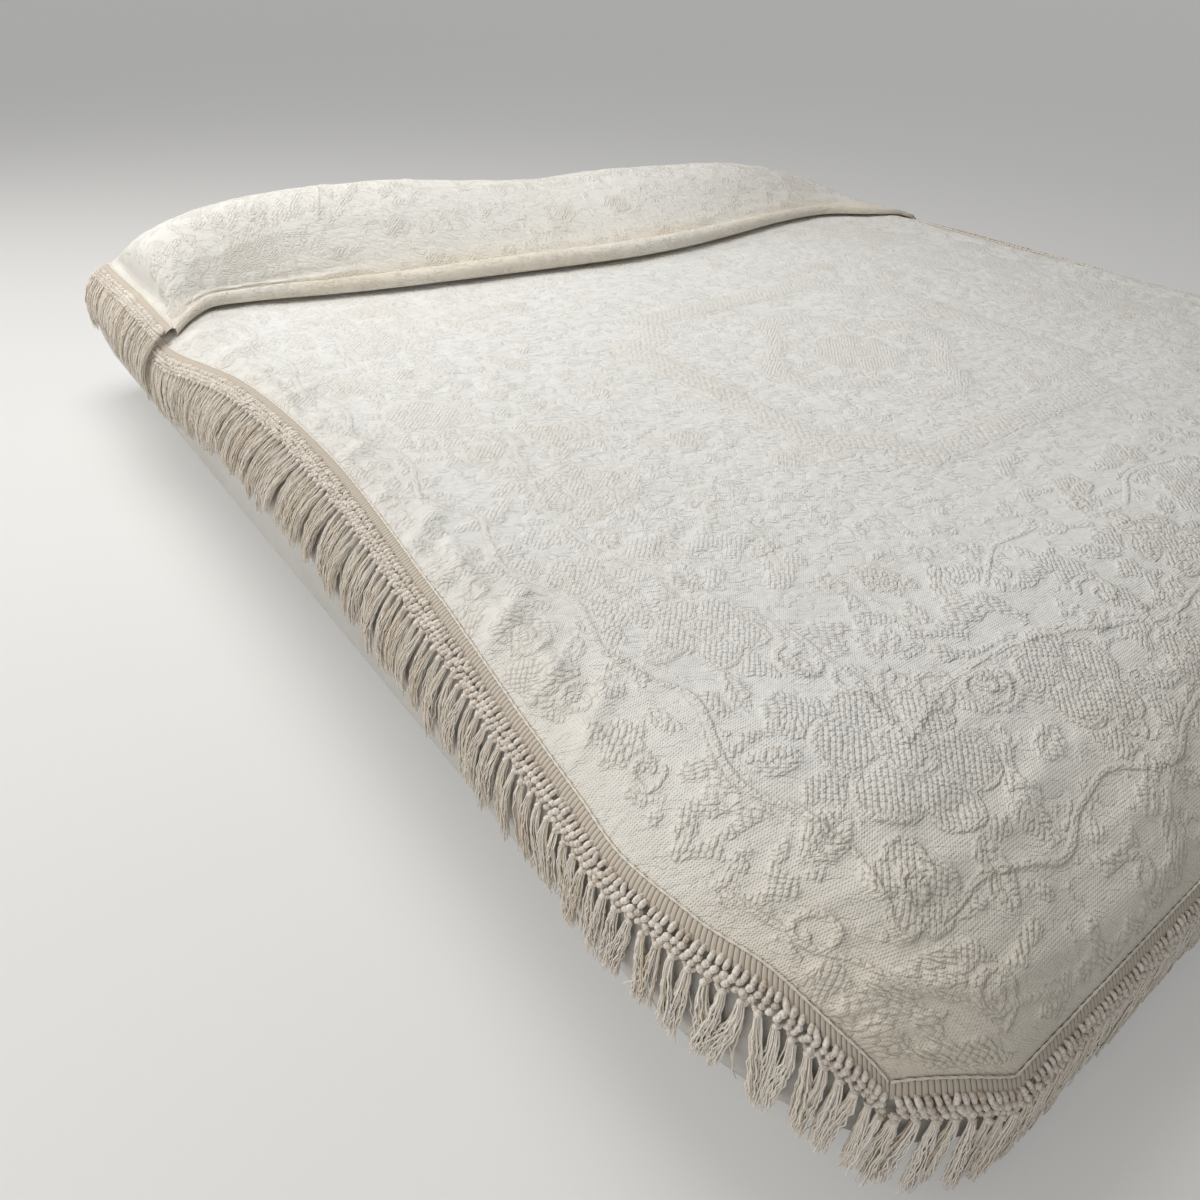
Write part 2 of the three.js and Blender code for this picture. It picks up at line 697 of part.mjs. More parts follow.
function addPiece(name, geometry, colour, roughness) {
  const material = new THREE.MeshStandardMaterial({ color: colour, roughness, metalness: 0 });
  const mesh = new THREE.Mesh(geometry, material);
  mesh.name = name;
  group.add(mesh);
}

addPiece('mattress', mattress(), COLOURS.ticking, 0.9);
addPiece('pillow_left', pillow(-1), COLOURS.pillowcase, 0.9);
addPiece('pillow_right', pillow(1), COLOURS.pillowcase, 0.9);
addPiece('bedspread', bedspread(), COLOURS.cloth, 0.92);
for (const [name, stretch] of Object.entries(STRETCHES)) {
  addPiece(`heading_${name}`, heading(stretch), COLOURS.heading, 0.92);
  addPiece(`fringe_${name}`, fringe(stretch), COLOURS.fringe, 0.95);
}

export default group;
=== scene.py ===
"""A woven matelasse bedspread with a knotted tassel fringe, laid over a mattress and two pillows.

Shapes are worked out in millimetres and become metres as each mesh is made. +Z is up, +Y is the
head end, X runs across the bed, and the origin is the middle of the mattress's flat underside.
"""
import math
from itertools import product

import bpy
import numpy as np
from mathutils import Matrix


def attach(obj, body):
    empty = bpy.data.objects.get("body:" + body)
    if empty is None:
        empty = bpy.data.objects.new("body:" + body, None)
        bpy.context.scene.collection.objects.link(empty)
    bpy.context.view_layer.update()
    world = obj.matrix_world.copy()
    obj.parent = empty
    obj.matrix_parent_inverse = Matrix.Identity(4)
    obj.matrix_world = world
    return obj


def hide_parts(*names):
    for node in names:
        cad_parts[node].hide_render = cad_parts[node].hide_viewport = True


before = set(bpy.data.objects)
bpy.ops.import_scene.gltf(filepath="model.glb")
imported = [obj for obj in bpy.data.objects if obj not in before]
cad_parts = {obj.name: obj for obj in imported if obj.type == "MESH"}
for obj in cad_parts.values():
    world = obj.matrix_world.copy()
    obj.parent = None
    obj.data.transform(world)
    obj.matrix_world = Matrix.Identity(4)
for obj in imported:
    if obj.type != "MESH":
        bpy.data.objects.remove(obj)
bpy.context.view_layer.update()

METRE = 0.001            # one millimetre


# ---- Sizes ----------------------------------------------------------------------------------

def table(columns, *rows):
    """A short table with named columns, one array for each."""
    return {name: np.array(values, float) for name, values in zip(columns.split(), zip(*rows))}


# The mattress: a flat top with a rounded rim, softer at the foot corners.
WIDTH, LENGTH, HEIGHT = 1880, 2030, 275
SIDE_RIM, CORNER_RIM = 100, 190
CORNER_FROM, CORNER_TO = -380, -900
SIDE_DROP, FOOT_DROP = 84, 158
HEAD_RIM, FOOT_RIM, FOOT_UNDER_RIM = 40, 300, 90
FLAT_FOOT = FOOT_RIM - LENGTH / 2
FLAT_HEAD = LENGTH / 2 - HEAD_RIM

# The cloth, how it lies, and the two layers under the pillows.
THICK = 2.5
REST_GAP, RIM_GAP, LIFT_OVER = 0.4, 3, 60
FLAT_LIFT = REST_GAP + THICK / 2
EDGE_LIFT = RIM_GAP + THICK / 2
TUCK_Y, TUCK_PITCH = 676, 7.5
FADE_FROM, FADE_TO = 700, 790
LAYER_SHARE, LIP_FADE = 0.7, 50

# The lip before the pillows: the middle of its roll, the roll's radius, the pillows' front.
LIP = table(
    "x y radius pillow",
    (-900, 492, 4, 556), (-856, 534, 6, 576), (-812, 572, 8, 602), (-751, 568, 9, 600),
    (-686, 554, 10, 590), (-618, 535, 10, 574), (-544, 518, 11, 558), (-445, 501, 12, 542),
    (-314, 483, 14, 526), (-120, 457, 15, 504), (40, 442, 15, 490), (200, 449, 14, 494),
    (357, 472, 12, 510), (494, 495, 10, 528), (620, 504, 9, 536), (700, 493, 9, 538),
    (790, 440, 7, 534), (900, 382, 4, 528),
)
# The height of the crest over the pillows.
CREST = table(
    "x height",
    (-872, 0), (-860, 50), (-842, 80), (-790, 106), (-723, 122), (-637, 132), (-498, 135),
    (-348, 129), (-210, 116), (-5, 100), (164, 104), (316, 100), (481, 93), (587, 83),
    (740, 54), (820, 30), (872, 0),
)
PILLOW_FRONT, CREST_Y, HUMP_BACK = 12, 753, 994
# Half widths from the bed's middle line to the corded edge.
LEFT_EDGE = table(
    "y x",
    (-954, 856), (-908, 874), (-857, 889), (-809, 906), (-731, 919), (-673, 915),
    (-525, 904), (-370, 890), (-48, 864), (226, 870), (480, 908), (680, 900),
)
RIGHT_EDGE = table(
    "y x",
    (-954, 856), (-880, 886), (-780, 913), (-640, 908), (-460, 897), (-200, 884), (40, 866),
    (200, 860), (340, 871), (480, 893), (680, 898),
)
HEAD_EDGE = table("y x", (360, 889), (600, 887), (750, 885), (900, 887), (1040, 886))
FOOT_MIDDLE, FOOT_CORNER, CORNER_SHARE, CORNER_POWER = -1003, -954, 0.1, 1.2
MAIN_START = -695
UPPER_START = 648

# The heading tape and the fringe, by their distances down from the corded edge.
TAPE_FROM, TAPE_TO = 0.8, 14.8
RIB_PITCH = 4.8
KNOT_PITCH = 14
TASSELS_FROM = 35
TASSEL_LENGTH, CORNER_EXTRA = 78, 25
FRINGE_LIFT = 3.75
TUCK_INSET = 8
HEM_TURNS = 20           # degrees round the head rim, where the fringe stops
SIDE_SAMPLES, HEAD_SAMPLES, FOOT_SAMPLES = 640, 240, 760


# ---- Helpers --------------------------------------------------------------------------------

def mix(start, stop, share):
    return start + (stop - start) * share


def smooth(start, stop, value):
    """0 before start, 1 past stop, with a smooth rise between."""
    share = np.clip((value - start) / (stop - start), 0, 1)
    return share * share * (3 - 2 * share)


def through(rows, key, column, at):
    """A smooth curve through a table's rows: the wanted column at a place along the key."""
    keys, values = rows[key], rows[column]
    at = np.clip(at, keys[0], keys[-1])
    after = np.clip(np.searchsorted(keys, at), 1, len(keys) - 1)
    ahead = np.minimum(np.arange(len(keys)) + 1, len(keys) - 1)
    behind = np.maximum(np.arange(len(keys)) - 1, 0)
    slopes = (values[ahead] - values[behind]) / (keys[ahead] - keys[behind])
    span = keys[after] - keys[after - 1]
    t = (at - keys[after - 1]) / span
    start = values[after - 1] * (2 * t**3 - 3 * t**2 + 1) + values[after] * (3 * t**2 - 2 * t**3)
    bend = slopes[after - 1] * (t**3 - 2 * t**2 + t) + slopes[after] * (t**3 - t**2)
    return start + bend * span


def bumps(x, y, seed):
    """Smooth random hills from -1 to 1, about one unit wide."""
    heights = np.random.default_rng(seed).uniform(-1, 1, (64, 64))
    column, row = np.floor(x).astype(int), np.floor(y).astype(int)
    u, v = smooth(0, 1, x - column), smooth(0, 1, y - row)
    corner = [[heights[(row + j) & 63, (column + i) & 63] for i in (0, 1)] for j in (0, 1)]
    return mix(mix(corner[0][0], corner[0][1], u), mix(corner[1][0], corner[1][1], u), v)


def ripple(places, pitch, seed):
    """Smooth random hills along a line, about one pitch wide."""
    return bumps(places / pitch, places * 0, seed)


def polar(x, y, far, turn):
    """The point that far from x, y in the direction turn."""
    return x + far * math.cos(turn), y + far * math.sin(turn)


def unit(vectors):
    return vectors / np.maximum(np.linalg.norm(vectors, axis=-1, keepdims=True), 1e-9)


def run_along(points):
    """The length of a line of points up to each of them."""
    steps = np.linalg.norm(np.diff(points, axis=0), axis=-1)
    return np.concatenate([np.zeros((1,) + steps.shape[1:]), np.cumsum(steps, axis=0)])


def graded(start, stop, first, last):
    """Places from start to stop whose spacing grows from first to last."""
    places = [0.0]
    span = abs(stop - start)
    while places[-1] < span:
        places.append(places[-1] + mix(first, last, min(places[-1] / span, 1)))
    return start + (stop - start) * np.array(places) / places[-1]


# ---- The mattress's top and rim -------------------------------------------------------------

def side_reach(y):
    return mix(SIDE_RIM, CORNER_RIM, smooth(CORNER_FROM, CORNER_TO, y))


def flat_half_width(y):
    return WIDTH / 2 - side_reach(y)


def rim_at(x, y):
    """Shares of the rim's reach, across and lengthwise, and the rim's own sizes there."""
    at_foot = y < FLAT_FOOT
    end_rim = np.where(at_foot, FOOT_RIM, HEAD_RIM)
    side = np.maximum(np.abs(x) - flat_half_width(y), 0) / side_reach(y)
    end = np.maximum(np.maximum(FLAT_FOOT - y, y - FLAT_HEAD), 0) / end_rim
    share = np.hypot(side, end)
    toward_foot = np.where(at_foot, (end / np.maximum(share, 1e-9)) ** 2, 0)
    drop = mix(SIDE_DROP, FOOT_DROP, toward_foot)
    return side, end, share, end_rim, np.where(at_foot, -1, 1), drop


def over_mattress(x, y, lift):
    """The point a given lift above the mattress's top."""
    side, end, share, _, end_sign, drop = rim_at(x, y)
    fall = 1 - np.sqrt(np.maximum(1 - share**2, 0))
    return np.stack([
        x + np.sign(x) * lift * side,
        y + end_sign * lift * end,
        HEIGHT + lift - (drop + lift) * fall,
    ], axis=-1)


def rest_lift(x, y):
    past = np.maximum(np.abs(x) - flat_half_width(y), np.maximum(FLAT_FOOT - y, y - FLAT_HEAD))
    return mix(REST_GAP, RIM_GAP, smooth(-LIFT_OVER, 0, past)) + THICK / 2


def lip(column, x):
    return through(LIP, "x", column, x)


def hump_height(x, y):
    front = lip("pillow", x) - PILLOW_FRONT
    reach = np.where(y < CREST_Y, CREST_Y - front, HUMP_BACK - CREST_Y)
    along = np.minimum(np.abs(y - CREST_Y) / reach, 1)
    return through(CREST, "x", "height", x) * np.cos(math.pi / 2 * along)


def upper_lift(x, y):
    """The upper layer's lift over the tucked layers, the pillows and the mattress behind."""
    over_tuck = FLAT_LIFT + 2 * TUCK_PITCH
    over_lip = FLAT_LIFT + TUCK_PITCH + 2 * lip("radius", x)
    base = mix(over_tuck, rest_lift(x, y), smooth(FADE_FROM, FADE_TO, y))
    lip_y = lip("y", x)
    return mix(over_lip, base, smooth(lip_y, lip_y + LIP_FADE, y)) + hump_height(x, y)


def edge_x(side, y):
    left, right = through(LEFT_EDGE, "y", "x", y), through(RIGHT_EDGE, "y", "x", y)
    return np.where(side < 0, left, right)


def head_edge_x(y):
    return through(HEAD_EDGE, "y", "x", y)


def foot_edge_y(share):
    corner = np.clip((np.abs(share) - 1 + CORNER_SHARE) / CORNER_SHARE, 0, 1)
    return mix(FOOT_MIDDLE, FOOT_CORNER, corner**CORNER_POWER)


class Skirt:
    """What hangs past a stretch of the corded edge, worked out once on a grid.

    Its places are the run along the edge, the depth down from it, and the lift off it.
    """

    STEP, DEEPEST, ARC_STEPS = 2.5, 190, 160
    RUN_DEPTH = 26           # where the run along the edge is measured

    def __init__(self, alongs, place, lift, extra, inset):
        x, y = place(alongs)
        self.base = lift(alongs) * np.ones_like(alongs)
        side, end, share, end_rim, end_sign, drop = rim_at(x, y)
        across_share, end_share = side / share, end / share
        flat_end = np.where(end_sign < 0, FLAT_FOOT, FLAT_HEAD)
        start_y = np.where(end > 0, flat_end, y)

        def point(angle, lift_off, fall):
            outward = end_sign * np.sin(angle) * end_share
            rest_y = start_y + end_rim * outward
            reach = (side_reach(rest_y) + lift_off) * np.sin(angle) * across_share
            return np.stack([
                np.where(side > 0, np.sign(x) * (flat_half_width(rest_y) + reach), x),
                rest_y + lift_off * outward,
                HEIGHT + lift_off - (drop + lift_off) * (1 - np.cos(angle)) - fall,
            ], axis=-1)

        first = np.arcsin(np.minimum(share, 1))
        steps = np.linspace(0, 1, self.ARC_STEPS)[:, None]
        angles = mix(first, math.pi / 2, steps)
        runs = run_along(np.stack([point(angle, self.base, 0) for angle in angles]))
        depths = np.arange(-self.STEP, self.DEEPEST, self.STEP)
        columns = range(len(alongs))
        origin, normal = [], []
        for depth in depths:
            angle = np.array([np.interp(depth, runs[:, i], angles[:, i]) for i in columns])
            fall = np.maximum(depth - runs[-1], 0)
            at_rest = point(angle, np.zeros_like(self.base), fall)
            origin.append(at_rest)
            normal.append(point(angle, np.ones_like(self.base), fall) - at_rest)
        self.origin = np.stack(origin, axis=1)
        self.normal = np.stack(normal, axis=1)
        knots = np.argmin(np.abs(depths - self.RUN_DEPTH))
        line = self.origin[:, knots] + self.normal[:, knots] * self.base[:, None]
        self.runs = run_along(line)
        here = self.origin[0, knots]
        across = np.cross(self.origin[1, knots] - here, self.origin[0, knots + 1] - here)
        self.turned = np.dot(across, self.normal[0, knots]) < 0
        self.extra = extra * np.ones_like(alongs)
        self.inset = inset

    def span(self):
        return self.inset[0], self.runs[-1] - self.inset[1]

    def longer(self, run):
        """How much longer the tassels hang there."""
        return np.interp(run, self.runs, self.extra)

    def at(self, run, depth, lift):
        run, depth, lift = np.broadcast_arrays(run, depth, lift)
        u = np.interp(run, self.runs, np.arange(len(self.runs)))
        v = np.clip(depth / self.STEP + 1, 0, self.origin.shape[1] - 1.001)
        i, j = np.minimum(u.astype(int), len(self.runs) - 2), v.astype(int)
        u, v = (u - i)[..., None], (v - j)[..., None]

        def sample(grid):
            near = mix(grid[i, j], grid[i, j + 1], v)
            return mix(near, mix(grid[i + 1, j], grid[i + 1, j + 1], v), u)

        height = mix(self.base[i], self.base[i + 1], u[..., 0]) + lift
        # Past the end of the edge, the run goes straight on.
        over = np.clip(run, None, 0) + np.clip(run - self.runs[-1], 0, None)
        ends = np.where(run < self.runs[-1] / 2, 0, len(self.runs) - 2)
        onward = unit(self.origin[ends + 1, j] - self.origin[ends, j])
        place = sample(self.origin) + sample(self.normal) * height[..., None]
        return place + onward * over[..., None]


def skirts():
    """What hangs past each of the five stretches of the corded edge, by name."""
    head_stop = FLAT_HEAD + HEAD_RIM * math.sin(math.radians(HEM_TURNS))
    made = {}
    for side, name, rows in ((-1, "left", LEFT_EDGE), (1, "right", RIGHT_EDGE)):
        ys = np.linspace(rows["y"][0], TUCK_Y - TUCK_INSET, SIDE_SAMPLES)
        made[name] = Skirt(
            ys, lambda y, side=side: (side * edge_x(side, y), y), lambda y: EDGE_LIFT,
            extra=CORNER_EXTRA * smooth(FLAT_FOOT, FOOT_CORNER, ys), inset=(0, 4))
        lip_y = float(lip("y", side * head_edge_x(np.float64(TUCK_Y))))
        made[name + "_head"] = Skirt(
            np.linspace(lip_y, head_stop, HEAD_SAMPLES),
            lambda y, side=side: (side * head_edge_x(y), y),
            lambda y, side=side: upper_lift(side * head_edge_x(y), y), extra=0, inset=(3, 3))
    left, right = LEFT_EDGE["x"][0], RIGHT_EDGE["x"][0]
    made["foot"] = Skirt(
        np.linspace(-left, right, FOOT_SAMPLES),
        lambda x: (x, foot_edge_y(x / np.where(x < 0, left, right))), lambda x: EDGE_LIFT,
        extra=CORNER_EXTRA, inset=(0, 0))
    return made


# ---- Meshes ---------------------------------------------------------------------------------

def add_object(name, data, material=None):
    """An object in the scene, with its one material where it needs one."""
    made = bpy.data.objects.new(name, data)
    if material:
        data.materials.append(material)
    bpy.context.scene.collection.objects.link(made)
    return made


def add_attribute(mesh, name, values):
    """A number for each point."""
    made = mesh.attributes.new(name, "FLOAT", "POINT")
    made.data.foreach_set("value", np.asarray(values, np.float32).ravel())


def mesh_from(name, points, faces=(), edges=(), smooth_faces=True):
    """A mesh from points in millimetres."""
    mesh = bpy.data.meshes.new(name)
    points = np.asarray(points, float).reshape(-1, 3) * METRE
    faces = faces if isinstance(faces, list) else np.asarray(faces).tolist()
    mesh.from_pydata(points.tolist(), np.asarray(edges).tolist(), faces)
    if smooth_faces and len(faces):
        mesh.shade_smooth()
    return mesh


def grid_faces(rows, columns, wrap=False):
    """Quads between rows of points, facing out where rows go up as columns go right."""
    column = np.arange(columns if wrap else columns - 1)
    row = np.arange(rows - 1)[:, None] * columns
    a, b = row + column, row + (column + 1) % columns
    return np.stack([a, b, b + columns, a + columns], axis=-1).reshape(-1, 4)


def add_uv(mesh, name, places):
    """A UV map from one place for each point."""
    layer = mesh.uv_layers.new(name=name)
    corner = np.empty(len(mesh.loops), np.int32)
    mesh.loops.foreach_get("vertex_index", corner)
    layer.uv.foreach_set("vector", places[corner].astype(np.float32).ravel())


# ---- Node trees -----------------------------------------------------------------------------

class Wire:
    """An output of a node. Arithmetic with numbers or other wires adds Math nodes."""

    def __init__(self, graph, socket):
        self.graph, self.socket = graph, socket

    def math(self, operation, *others):
        inputs = dict(enumerate((self,) + others))
        return self.graph.node(self.graph.maths, {"operation": operation}, inputs)

    def __add__(self, other):
        return self.math("ADD", other)

    def __sub__(self, other):
        return self.math("SUBTRACT", other)

    def __rsub__(self, other):
        return self.graph.node(self.graph.maths, {"operation": "SUBTRACT"}, {0: other, 1: self})

    def __mul__(self, other):
        return self.math("MULTIPLY", other)

    def __truediv__(self, other):
        return self.math("DIVIDE", other)

    __radd__, __rmul__ = __add__, __mul__

    def wave(self, pitch):
        """A cosine from -1 to 1 with the given pitch."""
        return (self * (2 * math.pi / pitch)).math("COSINE")

    def rise(self, start, stop):
        """0 before start and 1 past stop, smoothly."""
        settings = {"interpolation_type": "SMOOTHSTEP"}
        inputs = {"Value": self, "From Min": start, "From Max": stop}
        return self.graph.node("ShaderNodeMapRange", settings, inputs)


class Graph:
    """A node tree that is written as expressions."""

    maths = "ShaderNodeMath"

    def __init__(self, tree):
        self.tree = tree

    def node(self, kind, settings=None, inputs=None, output=0):
        """Any node: its settings first, then its inputs' values or links, and one output."""
        made = self.tree.nodes.new(kind)
        for name, value in (settings or {}).items():
            setattr(made, name, value)
        for name, value in (inputs or {}).items():
            if isinstance(value, Wire):
                self.tree.links.new(value.socket, made.inputs[name])
            else:
                made.inputs[name].default_value = value
        return Wire(self, made.outputs[output]) if made.outputs else made

    def looked_at(self):
        """1 for the rays that see a surface itself, also in gloss or through glass, or else 0."""
        rays = [self.node("ShaderNodeLightPath", output=name)
                for name in ("Is Camera Ray", "Is Glossy Ray", "Is Transmission Ray")]
        return (rays[0] + rays[1] + rays[2]).math("MINIMUM", 1.0)


class Finish(Graph):
    """A material on one Principled shader."""

    SPECULAR, SHEEN_ROUGHNESS = 0.25, 0.6

    def __init__(self, name, colour, roughness, sheen=0.0):
        self.material = bpy.data.materials.new(name)
        self.material.use_nodes = True
        super().__init__(self.material.node_tree)
        self.shader = self.tree.nodes["Principled BSDF"]
        for name, value in (
            ("Base Color", (*colour, 1)), ("Roughness", roughness), ("Sheen Weight", sheen),
            ("Specular IOR Level", self.SPECULAR), ("Sheen Roughness", self.SHEEN_ROUGHNESS),
        ):
            self.shader.inputs[name].default_value = value

    def feed(self, name, wire):
        self.tree.links.new(wire.socket, self.shader.inputs[name])

    def attribute(self, name):
        return self.node("ShaderNodeAttribute", {"attribute_name": name}, output="Fac")

    def here(self):
        """Where a surface's point lies on its own object, in metres."""
        return self.node("ShaderNodeTexCoord", output="Object")

    def parts(self, vector):
        """A vector's three numbers."""
        split = self.node("ShaderNodeSeparateXYZ", inputs={0: vector})
        outputs = split.socket.node.outputs
        return [Wire(self, outputs[axis]) for axis in range(3)]

    def vector(self, x, y, z=0.0):
        return self.node("ShaderNodeCombineXYZ", inputs={0: x, 1: y, 2: z})

    def noise(self, x, y, detail=1.0, roughness=0.5):
        """Flat noise, its spots about one unit wide."""
        inputs = {"Vector": self.vector(x, y), "Scale": 1.0, "Detail": detail,
                  "Roughness": roughness}
        return self.node("ShaderNodeTexNoise", {"noise_dimensions": "2D"}, inputs)

    def grain(self, scale, detail):
        """Noise through the object, with scale spots in each metre."""
        inputs = {"Vector": self.here(), "Scale": scale, "Detail": detail}
        return self.node("ShaderNodeTexNoise", inputs=inputs)

    def blend(self, share, first, second):
        """From the first colour to the second."""
        first, second = [c if isinstance(c, Wire) else (*c, 1) for c in (first, second)]
        settings = {"data_type": "RGBA"}
        made = self.node("ShaderNodeMix", settings, {"Factor": share}, output="Result")
        node = made.socket.node
        colours = [s for s in node.inputs if s.type == "RGBA"]
        for socket, colour in zip(colours, (first, second)):
            if isinstance(colour, Wire):
                self.tree.links.new(colour.socket, socket)
            else:
                socket.default_value = colour
        return Wire(self, next(s for s in node.outputs if s.type == "RGBA"))

    def relief(self, height, strength=1.0):
        """Bumps of a height in millimetres."""
        inputs = {"Height": height, "Distance": METRE, "Strength": strength}
        self.feed("Normal", self.node("ShaderNodeBump", inputs=inputs))


def linear(red, green, blue):
    """A screen colour, 0 to 255, as a shader's linear colour."""
    return tuple(
        c / 12.92 if c <= 0.04045 else ((c + 0.055) / 1.055) ** 2.4
        for c in (red / 255, green / 255, blue / 255))


class Growth(Graph):
    """A Geometry Nodes tree with named inputs, which a source mesh is grown through."""

    def __init__(self, name, **sizes):
        super().__init__(bpy.data.node_groups.new(name, "GeometryNodeTree"))
        face = self.tree.interface
        for key, way in (("Geometry", "OUTPUT"), ("Geometry", "INPUT"), ("Material", "INPUT")):
            face.new_socket(key, in_out=way, socket_type="NodeSocket" + key)
        for key, value in sizes.items():
            kind = "NodeSocketInt" if isinstance(value, int) else "NodeSocketFloat"
            socket = face.new_socket(key, in_out="INPUT", socket_type=kind)
            socket.default_value = value
        self.inputs = self.tree.nodes.new("NodeGroupInput")

    def given(self, name):
        return Wire(self, self.inputs.outputs[name])

    def named(self, name, kind="FLOAT"):
        """A field that the source mesh carries."""
        return self.node("GeometryNodeInputNamedAttribute", {"data_type": kind}, {"Name": name})

    def circle(self, sides, radius):
        return self.node("GeometryNodeCurvePrimitiveCircle", {"mode": "RADIUS"},
                         {"Resolution": sides, "Radius": radius})

    def end(self, geometry):
        """The tree's last nodes, which make its geometry real, smooth and painted."""
        real = self.node("GeometryNodeRealizeInstances", inputs={"Geometry": geometry})
        round_off = self.node("GeometryNodeSetShadeSmooth", inputs={"Geometry": real})
        inputs = {"Geometry": round_off, "Material": self.given("Material")}
        painted = self.node("GeometryNodeSetMaterial", inputs=inputs)
        out = self.tree.nodes.new("NodeGroupOutput")
        self.tree.links.new(painted.socket, out.inputs["Geometry"])

    def grow(self, name, source, material, **sizes):
        """A plain mesh object, grown from a source mesh, which is used up."""
        seed = add_object(name + "_source", source)
        modifier = seed.modifiers.new("growth", "NODES")
        modifier.node_group = self.tree
        given = {"Material": material, **sizes}
        for item in self.tree.interface.items_tree:
            if item.in_out == "INPUT" and item.name in given:
                modifier[item.identifier] = given[item.name]
        evaluated = seed.evaluated_get(bpy.context.evaluated_depsgraph_get())
        mesh = bpy.data.meshes.new_from_object(evaluated)
        bpy.data.objects.remove(seed)
        return add_object(name, mesh)


def strand_growth():
    """Tubes along a mesh's lines, each as thick as the lines' points say."""
    tree = Growth("strands", Sides=3)
    lines = tree.node("GeometryNodeMeshToCurve", inputs={"Mesh": tree.given("Geometry")})
    ring = tree.circle(tree.given("Sides"), 1.0)
    inputs = {"Curve": lines, "Profile Curve": ring, "Fill Caps": True,
              "Scale": tree.named("thick")}
    tree.end(tree.node("GeometryNodeCurveToMesh", inputs=inputs))
    return tree


def cord_growth():
    """A two-ply twisted cord along a mesh's line."""
    tree = Growth("cord", Step=0.0025, Radius=0.0014, Flatness=0.62, Twist=0.75, Sides=6)
    line = tree.node("GeometryNodeMeshToCurve", inputs={"Mesh": tree.given("Geometry")})
    even = tree.node("GeometryNodeResampleCurve", {"mode": "LENGTH"},
                     {"Curve": line, "Length": tree.given("Step")})
    tilt = tree.node("GeometryNodeInputIndex") * tree.given("Twist")
    twisted = tree.node("GeometryNodeSetCurveTilt", inputs={"Curve": even, "Tilt": tilt})
    ring = tree.circle(tree.given("Sides"), tree.given("Radius"))
    flat = tree.node("ShaderNodeCombineXYZ", inputs={0: 1.0, 1: tree.given("Flatness"), 2: 1.0})
    ply = tree.node("GeometryNodeTransform", inputs={"Geometry": ring, "Scale": flat})
    inputs = {"Curve": twisted, "Profile Curve": ply, "Fill Caps": True}
    tree.end(tree.node("GeometryNodeCurveToMesh", inputs=inputs))
    return tree


# ---- Finishes -------------------------------------------------------------------------------

# The cream cloth, the colour of its painted shade and random wear, and of its painted warm shade.
CREAM, CREAM_SHADE_AND_WEAR = linear(238, 236, 230), linear(204, 190, 168)
CREAM_WARM_SHADE = linear(238, 223, 196)
# The tape, and the colour of its painted shade in the grooves between the ribs.
TAPE_COLOUR, TAPE_SHADE = linear(210, 199, 183), linear(132, 115, 95)
YARN_LIGHT, YARN_DARK = linear(250, 243, 232), linear(235, 219, 195)
# The colour of the yarn's painted shade, and of the knots' darker random tone.
YARN_SHADE_AND_TONE = linear(176, 155, 130)
TICKING, TICKING_DEEP = linear(205, 202, 196), linear(184, 180, 172)
PILLOWCASE = linear(233, 232, 228)
CORD_COLOUR = linear(240, 232, 218)
FLOOR = linear(204, 202, 198)

# The widths in millimetres of the woven cells, one way and the other, and how loose they lie.
PEBBLE, SLANT, BEAD, PUFF = (8.6, 7.4, 0.36), (5.0, 8.5, 0.6), (5.2, 4.8, 0.6), (16, 9.5, 0.95)
WEFT_PITCH, WARP_PITCH = 2.8, 3.0
# How high they stand in millimetres, and how much less of that where the cloth lies slack.
PATCH_HEIGHT, PATCH_SLACK = 1.95, 0.7
ROPE_HEIGHT, ROPE_SLACK = 2.4, 1.6
PUFF_HEIGHT, CREASE_DEPTH = 1.15, 1.1


